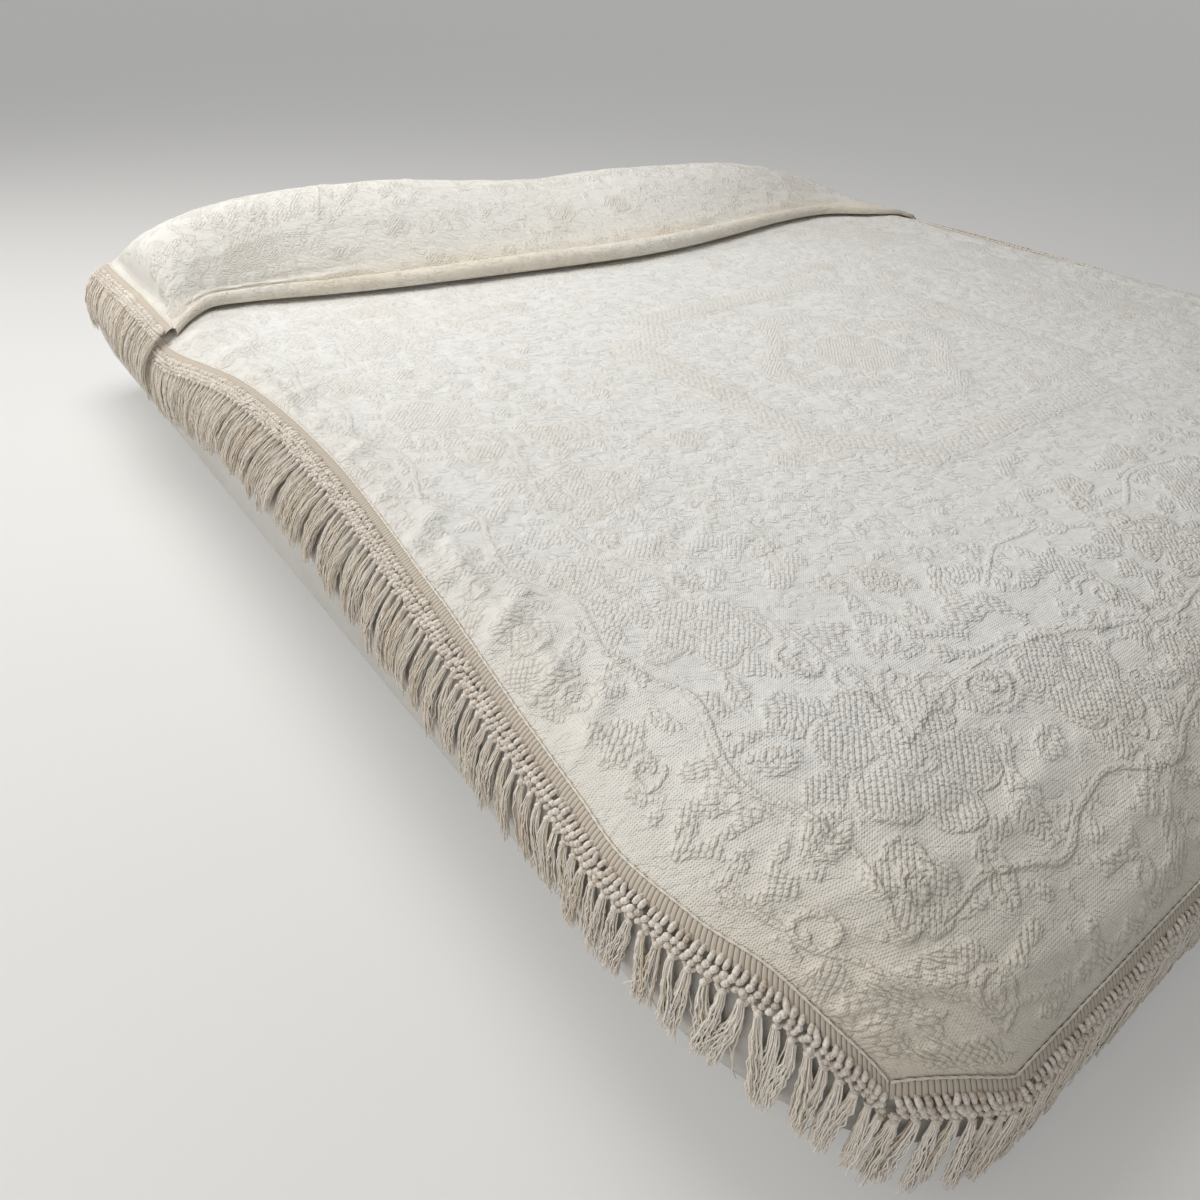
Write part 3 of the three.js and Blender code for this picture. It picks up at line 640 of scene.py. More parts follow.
def cloth_finish():
    """Matelasse: raised patches of pebbles or slanting ribs, and corded lines, on fine ribs."""
    cloth = Finish("matelasse_cloth", CREAM, roughness=0.93, sheen=0.08)
    x, y, _ = cloth.parts(cloth.node("ShaderNodeUVMap", {"uv_map": "cloth"}, output="UV"))
    x, y = x / METRE, y / METRE
    drift = cloth.noise(x / 30, y / 30)
    x_soft, y_soft = x + drift * 11, y + drift * 9

    ragged = (cloth.noise(x / 7, y / 7) - 0.5) * 7
    patch = (cloth.attribute("raised") + ragged).rise(-1.8, 2.2)
    rope = (cloth.attribute("rope") + ragged * 0.25).rise(5.0, 1.4)
    lean, slack = cloth.attribute("lean"), cloth.attribute("slack")

    def puffs(u, v, loose):
        """Plump rounded cells that the weave draws in between."""
        settings = {"voronoi_dimensions": "2D", "feature": "F1"}
        inputs = {"Vector": cloth.vector(u, v), "Scale": 1.0, "Randomness": loose}
        away = cloth.node("ShaderNodeTexVoronoi", settings, inputs) * 1.42
        return (1 - away * away).math("MAXIMUM", 0.0)

    def slanting(hand):
        """Rows of long cells that lean to one hand."""
        wide, long, loose = SLANT
        return puffs((x_soft * 0.6 + y_soft * (0.8 * hand)) / wide,
                     (x_soft * 0.8 - y_soft * (0.6 * hand)) / long, loose)

    pebble = puffs((x_soft + y_soft) / PEBBLE[0], (x_soft - y_soft) / PEBBLE[1], PEBBLE[2])
    left = slanting(-1)
    ribs = left + (slanting(1) - left) * lean.rise(-0.4, 0.4)
    filling = pebble + (ribs - pebble) * lean.math("ABSOLUTE").rise(0.4, 0.8)
    bead = puffs(x_soft / BEAD[0], y_soft / BEAD[1], BEAD[2]) * 0.55 + 0.45

    weft = (y + drift * 2.5).wave(WEFT_PITCH)
    warp = (x + drift * 2).wave(WARP_PITCH)
    weave = weft * cloth.noise(x / 9, y / 5) * 0.22 + weft * warp * 0.17
    fine = cloth.noise(x / 2.4, y / 1.8, detail=2) * 0.4
    # Small puffed cells and short thin creases, where the weave draws in across the cloth.
    along, across = x * 0.8 - y * 0.6, x * 0.6 + y * 0.8
    puff = puffs(along / PUFF[0] + drift * 1.6, across / PUFF[1] + drift, PUFF[2])
    drawn = cloth.noise(along / 22 + drift, across / 9.5, detail=1.4, roughness=0.55)
    broken = cloth.noise(x / 36, y / 20).rise(0.38, 0.58)
    crease = (1 - (drawn - 0.5).math("ABSOLUTE") * 14).math("MAXIMUM", 0.0) * broken
    ground = (1 - patch * 0.8) * (1 - rope * 0.6)
    gather = ground * (slack * 0.5 + 0.5)

    height = filling * patch * (PATCH_HEIGHT - slack * PATCH_SLACK)
    height = height + rope * bead * (ROPE_HEIGHT - slack * ROPE_SLACK) + weave + fine
    height = height + puff * gather * PUFF_HEIGHT - crease * gather * CREASE_DEPTH
    cloth.relief(height, 1.0)

    # Painted shade: deeper in the creases, between the pebbles, beside the corded lines, along
    # the seam and toward the foot. Painted warm shade under the lip and toward the foot. Random
    # wear blotches.
    between = patch * (1 - filling) * 0.34 + crease * gather * 0.11 + rope * (1 - bead) * 0.34
    beside = cloth.attribute("rope").rise(8.5, 5.0) * (1 - rope) * 0.16
    wear = cloth.noise(x / 260, y / 260, detail=2).rise(0.35, 0.75) * 0.08
    depth = (between + beside + wear + cloth.attribute("painted_edge_shade")).math("MINIMUM", 1.0)
    warm_shaded = cloth.blend(cloth.attribute("painted_warm_shade"), CREAM, CREAM_WARM_SHADE)
    cloth.feed("Base Color", cloth.blend(depth, warm_shaded, CREAM_SHADE_AND_WEAR))
    return cloth.material


def tape_finish():
    """Close ribbed cotton, with painted shade in the grooves between the ribs."""
    tape = Finish("heading_tape", TAPE_COLOUR, roughness=0.95, sheen=0.1)
    tape.relief(tape.grain(900, 2) * 0.25, 0.8)
    # Painted shade in the grooves between the ribs.
    groove = 1 - tape.attribute("rib").rise(0.0, 0.75) * 0.9
    tape.feed("Base Color", tape.blend(groove, TAPE_COLOUR, TAPE_SHADE))
    return tape.material


def yarn_finish():
    """Loose cotton yarn, every strand its own tone; painted shade toward the knots and inside
    tassels.
    """
    yarn = Finish("fringe_yarn", YARN_LIGHT, roughness=0.97, sheen=0.15)
    tone, inside = yarn.attribute("tone"), yarn.attribute("inside")
    grain = yarn.grain(700, 1)
    yarn.relief(grain * 0.5, 0.6)
    strand = yarn.blend((tone + (grain - 0.5) * 0.3).rise(0.0, 1.0), YARN_LIGHT, YARN_DARK)
    # Painted shade inside each tassel and toward its collar.
    yarn.feed("Base Color", yarn.blend(inside * 0.08, strand, YARN_SHADE_AND_TONE))
    return yarn.material


def knot_finish():
    """Thick knotted yarn, its fibres running along each turn."""
    knots = Finish("knotted_yarn", YARN_LIGHT, roughness=0.96, sheen=0.1)
    tone, twist = knots.attribute("tone"), knots.attribute("twist")
    grain = knots.grain(420, 3)
    ply = (twist + grain * 3).wave(3.4) * 0.5 + 0.5
    knots.relief(ply * 0.35 + grain * 0.9, 0.9)
    # Painted shade where a turn lies low and between the plies, with a random tone and the grain.
    deep = tone * 0.8 + (1 - ply) * 0.2 + grain.rise(0.55, 0.3) * 0.3
    knots.feed("Base Color", knots.blend(deep.math("MINIMUM", 1.0), YARN_LIGHT, YARN_SHADE_AND_TONE))
    return knots.material


def cord_finish():
    """Twisted cotton with a slight fuzz."""
    cord = Finish("edge_cord", CORD_COLOUR, roughness=0.95, sheen=0.1)
    grain = cord.grain(800, 2)
    cord.relief(grain * 0.3, 0.7)
    cord.feed("Base Color", cord.blend(grain.rise(0.4, 0.8) * 0.4, CORD_COLOUR, TAPE_COLOUR))
    return cord.material


def ticking_finish():
    """A plain close-woven cover with faint ribs."""
    cover = Finish("ticking", TICKING, roughness=0.9, sheen=0.05)
    x, y, z = cover.parts(cover.here())
    weave = (x + y).wave(0.0042) * 0.12 + z.wave(0.0016) * 0.08
    slub = cover.grain(160, 3)
    cover.relief(weave + slub * 0.35, 0.8)
    cloud = cover.grain(7, 2).rise(0.35, 0.75)
    cover.feed("Base Color", cover.blend(cloud * 0.35 + slub * 0.25, TICKING, TICKING_DEEP))
    return cover.material


def pillowcase_finish():
    """Smooth cotton, softly crumpled."""
    case = Finish("pillowcase", PILLOWCASE, roughness=0.9, sheen=0.05)
    crumple = case.grain(30, 3)
    case.relief(crumple * 1.2 + case.grain(1500, 1) * 0.1, 0.8)
    case.feed("Base Color", case.blend(crumple * 0.3, PILLOWCASE, TICKING_DEEP))
    return case.material


# ---- The woven design -----------------------------------------------------------------------

class Design:
    """The raised design as fields over the cloth, in millimetres.

    raised is how far inside a patch a place lies, rope how far from a raised line, and lean
    says how a patch is filled: 0 with pebbles, 1 and -1 with slanting ribs.
    """

    REACH = 16

    def __init__(self, x, y):
        # The weave is never quite straight, so neither are the motifs.
        self.x = (x + 5.0 * bumps(x / 33, y / 36, 81)).ravel()
        self.y = (y + 5.0 * bumps(x / 37, y / 31, 82)).ravel()
        count = self.x.size
        self.raised = np.full(count, -self.REACH, float)
        self.rope = np.full(count, self.REACH, float)
        self.lean = np.zeros(count)

    def local(self, cx, cy, radius, turn):
        """The places near a motif, in the motif's own turned coordinates."""
        reach = radius + self.REACH
        near = np.nonzero((np.abs(self.x - cx) < reach) & (np.abs(self.y - cy) < reach))[0]
        dx, dy = self.x[near] - cx, self.y[near] - cy
        c, s = math.cos(turn), math.sin(turn)
        return near, dx * c + dy * s, dy * c - dx * s

    def patch(self, near, inside, lean=0):
        """Raise the places near a motif as far as they lie inside it."""
        better = inside > self.raised[near]
        chosen = near[better]
        self.raised[chosen] = inside[better]
        self.lean[chosen] = np.broadcast_to(lean, inside.shape)[better]

    def line(self, near, distance):
        """Lay a rope at a distance from the places near it."""
        self.rope[near] = np.minimum(self.rope[near], distance)

    def flower(self, cx, cy, radius, petals, turn, ribbed=False):
        near, u, v = self.local(cx, cy, radius, turn)
        r, angle = np.hypot(u, v), np.arctan2(v, u)
        part = (angle * petals / (2 * math.pi)) % 1
        lobe = radius * (0.7 + 0.3 * np.abs(np.cos(petals * angle / 2)) ** 0.6)
        seam = r * np.abs(part - 0.5) * 2 * math.pi / petals - 1.8
        petal = np.minimum(np.minimum(lobe - r - 4.5, r - 0.34 * radius), seam)
        self.patch(near, petal, np.where(part < 0.5, 1, -1) if ribbed else 0)
        self.patch(near, 0.24 * radius - r)
        self.line(near, np.abs(lobe - r - 1.5))
        self.line(near, np.abs(r - 0.29 * radius))

    def leaf(self, cx, cy, length, width, turn):
        near, u, v = self.local(cx, cy, length, turn)
        share = np.clip(u / length, 0, 1)
        half = width / 2 * np.sin(math.pi * share**0.8) ** 0.9
        inside = np.minimum(half - np.abs(v), np.minimum(u, length - u))
        self.patch(near, np.minimum(inside, np.abs(v) - 1.2), np.sign(v))

    def diamond(self, cx, cy, size, turn):
        near, u, v = self.local(cx, cy, size, turn)
        self.patch(near, (size - np.abs(u) - np.abs(v) * 1.25) * 0.65)

    def curl(self, cx, cy, size, turn, hand, turns=1.35):
        near, u, v = self.local(cx, cy, size, turn)
        r = np.hypot(u, v)
        angle = (hand * np.arctan2(v, u)) % (2 * math.pi)
        distance = np.full(r.shape, float(self.REACH))
        for lap in (0, 1):
            total = angle + 2 * math.pi * lap
            line_r = size * (1 - 0.8 * total / (2 * math.pi * turns))
            off = np.where(total <= 2 * math.pi * turns, np.abs(r - line_r), self.REACH)
            distance = np.minimum(off, distance)
        self.line(near, distance)

    def arc(self, cx, cy, radius, middle, half_angle):
        near, u, v = self.local(cx, cy, radius, middle)
        angle = np.arctan2(v, u)
        past = np.maximum(np.abs(angle) - half_angle, 0) * radius
        self.line(near, np.hypot(np.hypot(u, v) - radius, past))

    def sprig(self, cx, cy, size, turn):
        """Three leaves and a curl on a short stem."""
        for spread in (-0.9, 0, 0.9):
            angle = turn + spread
            self.leaf(*polar(cx, cy, 0.15 * size, angle), size * (1 - 0.22 * abs(spread)),
                      size * 0.42, angle)
        self.curl(*polar(cx, cy, 0.55 * size, turn + math.pi), 0.34 * size, turn, 1)

    def wavy_line(self, axis, level, start, stop, swing, wavelength):
        """A long vine along one axis, which swings to both sides of its level."""
        along, across = (self.x, self.y) if axis == 0 else (self.y, self.x)
        reach = abs(swing) + self.REACH
        near = np.nonzero((np.abs(across - level) < reach) & (along > start) & (along < stop))[0]
        wave = 2 * math.pi * (along[near] - start) / wavelength
        slope = swing * 2 * math.pi / wavelength * np.cos(wave)
        off = np.abs(across[near] - level - swing * np.sin(wave)) / np.sqrt(1 + slope**2)
        self.line(near, off)

    def foliage(self, x, y, coverage):
        """Small leafy patches that fill what the motifs leave, more where coverage is high."""
        leafy = bumps(x / 31, y / 25, 71) * 0.62 + bumps(x / 14, y / 12, 72) * 0.5
        inside = (leafy - 0.62 + coverage.ravel()) * 20
        inside = np.minimum(inside, np.minimum(-self.raised - 7, self.rope - 6))
        slant = bumps(x / 44, y / 44, 73)
        lean = np.where(np.abs(slant) > 0.25, np.sign(slant), 0)
        self.patch(np.arange(self.x.size), inside, lean)


MEDALLION = {"x": 10, "y": -176, "radius": 212}
BAND = {"half_x": 314, "half_y": 306, "width": 54, "corner": 96}
BORDER = {"inset": 236, "spacing": 292, "swing": 34, "flower": 64, "scallops": 372, "hooks": 50,
          "hook_pitch": 92, "vine": 112, "corner_gap": 70}
FIELD = {"across": 132, "along": 118, "stray": 14, "off_border": 40, "off_band": 66,
         "off_medallion": 48}


def medallion(design):
    """Four broad lobes with a scalloped rim, round a ring of leaves and a flower."""
    cx, cy, radius = MEDALLION["x"], MEDALLION["y"], MEDALLION["radius"]
    near, u, v = design.local(cx, cy, radius, 0)
    r, angle = np.hypot(u, v), np.arctan2(v, u)
    lobes = radius * (0.87 + 0.13 * np.cos(4 * angle))
    edge = lobes - 7 + 7 * np.abs(np.cos(12 * angle))
    design.line(near, np.abs(r - edge))
    design.line(near, np.abs(r - 0.74 * lobes))
    design.patch(near, np.minimum(edge - r - 5, r - 0.78 * lobes), np.sign(u * v))
    for step in range(12):
        turn = 2 * math.pi * step / 12
        length = radius * (0.2 + 0.08 * math.cos(4 * turn))
        design.leaf(*polar(cx, cy, 0.42 * radius, turn), length, 0.16 * radius, turn)
    design.flower(cx, cy, 0.38 * radius, 8, 0.2)


def band(design):
    """A ribbed band round the medallion, scooped in at its corners, with a sprig in each."""
    cx, cy = MEDALLION["x"], MEDALLION["y"]
    near, u, v = design.local(cx, cy, BAND["half_x"] + BAND["width"], 0)
    past_x, past_y = np.abs(u) - BAND["half_x"], np.abs(v) - BAND["half_y"]
    scoop = BAND["corner"] - np.hypot(past_x, past_y)
    off = np.maximum(np.maximum(past_x, past_y), scoop)
    half = BAND["width"] / 2
    design.patch(near, half - 5 - np.abs(off), 1)
    design.line(near, np.abs(np.abs(off) - half))
    in_x, in_y = (BAND[key] - BAND["corner"] - 20 for key in ("half_x", "half_y"))
    for hand_x, hand_y in product((-1, 1), (-1, 1)):
        turn = math.atan2(hand_y, hand_x) + math.pi
        design.sprig(cx + hand_x * in_x, cy + hand_y * in_y, 52, turn)


def border_run(design, place, start, stop, facing, rng):
    """Flowers, leaves and curls along one side of the cloth.

    place gives the point at a place along the side and an inset from it. The inset grows in the
    direction facing.
    """
    level = BORDER["inset"]
    count = max(int(round((stop - start) / BORDER["spacing"])), 2)
    spacing = (stop - start) / count
    for step in range(count):
        along = start + (step + 0.5) * spacing
        later = along + spacing / 2
        sign = 1 if step % 2 else -1
        x, y = place(along, level + sign * BORDER["swing"] * 0.9)
        radius = BORDER["flower"] * rng.uniform(0.88, 1.08)
        design.flower(x, y, radius, 5 + step % 2, rng.uniform(0, 6), ribbed=step % 3 == 1)
        for hand in (-1, 1):
            for reach, lean in ((1.05, 0.5), (1.2, -0.35)):
                turn = facing + math.pi / 2 * hand + lean * sign
                design.leaf(*polar(x, y, radius * reach, turn), rng.uniform(52, 72),
                            rng.uniform(24, 31), turn + 0.25 * lean)
            design.curl(*place(along + hand * spacing * 0.46, level - sign * 26),
                        rng.uniform(24, 31), facing + hand * 1.2, hand * sign)
        inward, outward = facing, facing + math.pi
        design.sprig(*place(along, level + sign * 118), 46, inward if sign > 0 else outward)
        design.diamond(*place(later, level - sign * 10), 30, facing + 0.3)
        design.arc(*place(later, BORDER["scallops"] - 158), 166, facing, 0.72)
        design.flower(*place(later, level + sign * 84), rng.uniform(34, 42), 5,
                      rng.uniform(0, 6))
        for side_step in (-0.24, 0.24):
            turn = facing + rng.uniform(-0.7, 0.7) + (0 if sign < 0 else math.pi)
            design.leaf(*place(along + side_step * spacing, level - sign * 96),
                        rng.uniform(44, 60), rng.uniform(22, 28), turn)
    hooks = max(int(round((stop - start) / BORDER["hook_pitch"])), 2)
    for step in range(hooks):
        along = start + (step + 0.5) * (stop - start) / hooks
        hand = 1 if step % 2 else -1
        design.curl(*place(along, BORDER["hooks"] + rng.uniform(-8, 12)), rng.uniform(17, 25),
                    facing + rng.uniform(-0.6, 0.6), hand, 1.2)
        design.leaf(*place(along + 44, BORDER["hooks"] + rng.uniform(14, 34)),
                    rng.uniform(32, 48), rng.uniform(17, 23),
                    facing + hand * rng.uniform(0.5, 1.3))


def border_corner(design, x, y, toward_x, toward_y):
    """A large flower with a fan of leaves, and curls and small motifs round it."""
    outward = math.atan2(-toward_y, -toward_x)
    inward = outward + math.pi
    design.flower(x, y, 82, 6, 0.4)
    for spread in (-1.25, -0.62, 0, 0.62, 1.25):
        turn = outward + spread
        design.leaf(*polar(x, y, 88, turn), 78 - 16 * abs(spread), 34, turn)
    for hand in (-1, 1):
        for turn, far, size in ((inward + 0.7 * hand, 128, 30), (outward + 0.32 * hand, 196, 24)):
            design.curl(*polar(x, y, far, turn), size, turn, hand)
    design.sprig(*polar(x, y, 112, inward), 50, inward)
    design.flower(x - toward_x * 92, y - toward_y * 88, 40, 5, 1.1)
    design.arc(x + toward_x * 20, y + toward_y * 20, 232, outward, 0.62)


def border(design, left, right, foot, head):
    """The border on all four sides, with its vines and corners."""
    rng = np.random.default_rng(11)
    inset, swing = BORDER["inset"], BORDER["swing"]
    vine, gap = BORDER["vine"], BORDER["corner_gap"]
    for place, start, stop, facing in (
        (lambda along, deep: (left + deep, along), foot, head, 0.0),
        (lambda along, deep: (right - deep, along), foot, head, math.pi),
        (lambda along, deep: (along, foot + deep), left, right, math.pi / 2),
        (lambda along, deep: (along, head - deep), left, right, -math.pi / 2),
    ):
        border_run(design, place, start + inset + gap, stop - inset - gap, facing, rng)
    sides, ends = (left, right), (foot, head)
    for axis, edges, (start, stop) in ((1, sides, ends), (0, ends, sides)):
        for hand, edge in zip((1, -1), edges):
            design.wavy_line(axis, edge + hand * vine, start + 150, stop - 150, 15, 184)
            design.wavy_line(axis, edge + hand * inset, start + inset, stop - inset,
                             hand * swing, 2 * BORDER["spacing"])
    for toward_x, toward_y in product((1, -1), (1, -1)):
        x = left + inset if toward_x > 0 else right - inset
        y = foot + inset if toward_y > 0 else head - inset
        border_corner(design, x, y, toward_x, toward_y)


def field_sprigs(design, left, right, foot, head):
    """Small sprigs and flowers, staggered over what the border, band and medallion leave."""
    rng = np.random.default_rng(23)
    clear = BORDER["scallops"] + FIELD["off_border"]
    step_x, step_y, stray = FIELD["across"], FIELD["along"], FIELD["stray"]
    for row, y in enumerate(np.arange(foot + clear, head - clear, step_y)):
        for x in np.arange(left + clear + (row % 2) * step_x / 2, right - clear, step_x):
            px, py = x + rng.uniform(-stray, stray), y + rng.uniform(-stray, stray)
            turn = rng.uniform(0, 2 * math.pi)
            out_x = abs(px - MEDALLION["x"]) - BAND["half_x"]
            out_y = abs(py - MEDALLION["y"]) - BAND["half_y"]
            from_band = max(out_x, out_y)
            from_middle = math.hypot(px - MEDALLION["x"], py - MEDALLION["y"])
            off_middle = MEDALLION["radius"] + FIELD["off_medallion"]
            if abs(from_band) < FIELD["off_band"] or from_middle < off_middle:
                continue
            if (row + int(x / step_x)) % 3 == 0:
                design.flower(px, py, rng.uniform(24, 32), 5, turn)
            else:
                design.sprig(px, py, rng.uniform(34, 44), turn)
            design.curl(px + 52 * math.cos(turn + 2), py + 46 * math.sin(turn + 2), 17, turn, 1)


def coverage(x, y, left, right, foot, head):
    """How much foliage there is: most in the border, some in the field, none at the seam."""
    inset = np.minimum(np.minimum(x - left, right - x), np.minimum(y - foot, head - y))
    border_share = smooth(6, 24, inset) * smooth(410, 350, inset)
    from_middle = np.hypot(x - MEDALLION["x"], y - MEDALLION["y"])
    clear = smooth(MEDALLION["radius"] + 26, MEDALLION["radius"] + 6, from_middle)
    out = np.maximum(np.abs(x - MEDALLION["x"]) - BAND["half_x"],
                     np.abs(y - MEDALLION["y"]) - BAND["half_y"])
    clear = np.maximum(clear, smooth(48, 34, np.abs(out)))
    return 0.2 * smooth(6, 20, inset) + 0.4 * border_share - 2 * clear - smooth(10, 4, inset)


# ---- Bedspread ------------------------------------------------------------------------------

# Soft folds by their two ends on the cloth, their half width, and their height over it.
FOLDS = table(
    "x0 y0 x1 y1 wide high",
    # Long slack folds beside the left edge.
    (-868, -150, -880, -380, 9, 4.2), (-842, -300, -862, -560, 10, 4.4),
    (-900, -420, -912, -700, 9, 4.6), (-862, -520, -884, -700, 8, 3.6),
    (-868, 60, -850, 260, 9, 3.8), (-850, 330, -872, 470, 8, 3.4),
    # Short puckers that run in from the left seam.
    (-906, -640, -840, -598, 10, 4.9), (-908, -566, -852, -548, 8, 4.1),
    (-906, -486, -826, -440, 12, 5.5), (-900, -372, -850, -360, 8, 3.8),
    (-902, -300, -818, -246, 12, 5.2), (-898, -190, -846, -176, 9, 4.3),
    (-896, -96, -812, -40, 13, 4.9), (-894, 24, -838, 44, 9, 4.1),
    (-892, 118, -802, 168, 13, 5.2), (-890, 250, -832, 262, 10, 4.3),
    (-888, 330, -810, 388, 12, 4.6), (-886, 450, -840, 462, 9, 3.8),
    (-902, -600, -850, -584, 8, -3.1), (-900, -330, -840, -300, 9, -3.4),
    (-894, -140, -836, -118, 8, -3.1), (-890, 70, -830, 92, 9, -3.4),
    (-888, 208, -826, 224, 8, -3.1), (-884, 400, -830, 418, 9, -2.9),
    # Slack over the near foot corner, and across the roll at the foot.
    (-925, -815, -905, -905, 5, 4.2), (-905, -905, -880, -960, 6, 2.6),
    (-840, -868, -700, -900, 15, 3.6), (-700, -895, -560, -880, 17, 3.0),
    (-850, -940, -720, -985, 13, 4.0), (-720, -985, -560, -1000, 16, 3.2),
    (-760, -840, -640, -790, 18, 2.6), (-600, -960, -420, -930, 18, 3.0),
    (-420, -1000, -180, -960, 20, 3.2), (-160, -940, 60, -990, 20, 3.0),
    (100, -950, 320, -980, 20, 3.0), (360, -1000, 560, -940, 18, 3.2),
    (600, -930, 800, -990, 16, 3.4), (820, -880, 880, -960, 12, 3.4),
    # Soft swells on the flat.
    (-520, -720, -300, -690, 22, 1.6), (-120, -640, 160, -600, 24, 1.4),
    (300, -500, 520, -460, 22, 1.5), (-420, 200, -180, 240, 20, 1.4),
    (60, 220, 300, 190, 20, 1.4), (-640, -60, -520, 120, 16, 1.3),
)
# Soft rolls and creases over the lip, their y from the lip.
LIP_FOLDS = table(
    "x0 y0 x1 y1 wide high",
    # A roll along the lip, with a drawn-in line over it, and a second one at the left.
    (-890, 20, -430, 34, 14, 7.5), (-885, 46, -400, 70, 8, -5.0), (-870, 80, -500, 96, 15, 6.5),
    (-880, 116, -540, 112, 7, -3.5), (-420, 30, -60, 36, 16, 5.5), (-430, 66, -40, 52, 9, -3.0),
    (-60, 34, 420, 38, 16, 5.0), (-10, 56, 330, 72, 10, -2.4), (410, 28, 860, 36, 14, 5.0),
    (480, 66, 850, 54, 8, -2.8), (-300, 100, 120, 92, 16, 3.0), (200, 96, 620, 88, 15, 2.8),
)


def fold_height(x, y, folds, bow):
    """The folds' height at each place of the cloth, fading out toward each fold's ends."""
    total = np.zeros_like(x)
    for x0, y0, x1, y1, wide, high in zip(*folds.values()):
        dx, dy = x1 - x0, y1 - y0
        length = math.hypot(dx, dy)
        along = ((x - x0) * dx + (y - y0) * dy) / length
        across = ((y - y0) * dx - (x - x0) * dy) / length
        bend = across + bow * length * np.sin(math.pi * along / length)
        ends = smooth(-0.25, 0.25, along / length) * smooth(1.25, 0.75, along / length)
        total += high * np.exp(-((bend / wide) ** 2)) * ends
    return total


# Cell sizes of the sheet in millimetres, from its finest part to its coarsest, and about half
# the cloth's width.
ACROSS_CELLS, ALONG_CELLS, HALF_WIDTH = (3.9, 10.6), (4.6, 11.5), 905
ROLL_TURNS = (0.014, 0.0145)         # the rows' steps round the roll at the foot, in radians
WIDE_ROW = 120           # a row across the flat part, where the cloth's width is measured
HEM_ROWS, LIP_ROWS = 4, 16           # the hem's rows, and those from the tuck to the lip


def column_shares():
    """Shares of the half width, closer together toward the left side."""
    steps = [-1.0]
    while steps[-1] < 1:
        spacing = mix(*ACROSS_CELLS, float(smooth(-1.0, 0.55, steps[-1])))
        steps.append(steps[-1] + spacing / HALF_WIDTH)
    steps = np.array(steps)
    return (steps + 1) / (steps[-1] + 1) * 2 - 1


def sheet_rows(shares):
    """Rows of points from the foot edge to the turned hem, and how open each row lies."""
    rows, shown = [], []

    def add(points, open_share=1.0):
        rows.append(points)
        shown.append(open_share)

    def main_row(y):
        x = shares * edge_x(shares, y)
        add(over_mattress(x, y, rest_lift(x, y)))

    steepest = math.asin((FLAT_FOOT - FOOT_MIDDLE) / FOOT_RIM)
    for angle in graded(steepest, 0, *ROLL_TURNS):
        middle_y = FLAT_FOOT - FOOT_RIM * math.sin(angle)
        share = (middle_y - FOOT_MIDDLE) / (MAIN_START - FOOT_MIDDLE)
        main_row(mix(foot_edge_y(shares), MAIN_START, share))
    for y in graded(FLAT_FOOT + 5, TUCK_Y, *ALONG_CELLS):
        main_row(np.full_like(shares, y))
    fold_row = len(rows) - 1

    y_tuck = np.full_like(shares, TUCK_Y)
    layer_x = shares * mix(edge_x(shares, y_tuck), head_edge_x(y_tuck), LAYER_SHARE)

    def turn_row(x, y, radius, lift, degrees, open_share):
        angle = math.radians(degrees)
        turned = lift - np.abs(radius) * math.cos(angle)
        add(over_mattress(x, y + radius * math.sin(angle), turned), open_share)

    for degrees in (30, 60, 90, 120, 150):
        turn_row(layer_x, y_tuck, TUCK_PITCH / 2, FLAT_LIFT + TUCK_PITCH / 2, degrees, 0)
    middle_lift = FLAT_LIFT + TUCK_PITCH
    for back in (1, 0.75, 0.5, 0.25, 0):
        add(over_mattress(layer_x, mix(lip("y", layer_x), TUCK_Y, back),
                          np.full_like(shares, middle_lift)), 0)
    for degrees in range(18, 180, 18):
        x = mix(layer_x, shares * head_edge_x(y_tuck), degrees / 180)
        radius = lip("radius", x)
        turn_row(x, lip("y", x), -radius, middle_lift + radius, degrees, degrees / 360)

    def upper_row(y_of, sink=0.0, open_share=1.0):
        y = y_of(shares * head_edge_x(y_tuck)) * np.ones_like(shares)
        x = shares * head_edge_x(y)
        add(over_mattress(x, y, upper_lift(x, y) - sink), open_share)

    for share in np.linspace(0, 1, 25)[:-1] ** 1.35:
        open_share = mix(0.5, 1, min(share * 3, 1))
        upper_row(lambda x: mix(lip("y", x), UPPER_START, share), open_share=open_share)
    for y in np.arange(UPPER_START, FLAT_HEAD, 9.6):
        upper_row(lambda x: y)
    # Over the head rim to the hem, which turns under.
    over_rim = [(degrees, 0) for degrees in (1, 8, 16, 24, 32, 40, 47, 53, 56)]
    for degrees, sink in over_rim + [(57.4, 1.3), (56, 2.6), (46, 2.6), (34, 2.6)]:
        y = FLAT_HEAD + HEAD_RIM * math.sin(math.radians(degrees))
        upper_row(lambda x: y, sink, 0.6 if sink == 0 else 0)
    return np.stack(rows), np.array(shown), fold_row


PATCH_RELIEF, LINE_RELIEF = 1.4, 1.3


def woven_design(across, y, left, right, foot, head):
    """The whole design over the cloth."""
    design = Design(across, y)
    medallion(design)
    band(design)
    border(design, left, right, foot, head)
    field_sprigs(design, left, right, foot, head)
    design.foliage(design.x, design.y, coverage(across, y, left, right, foot, head))
    return design


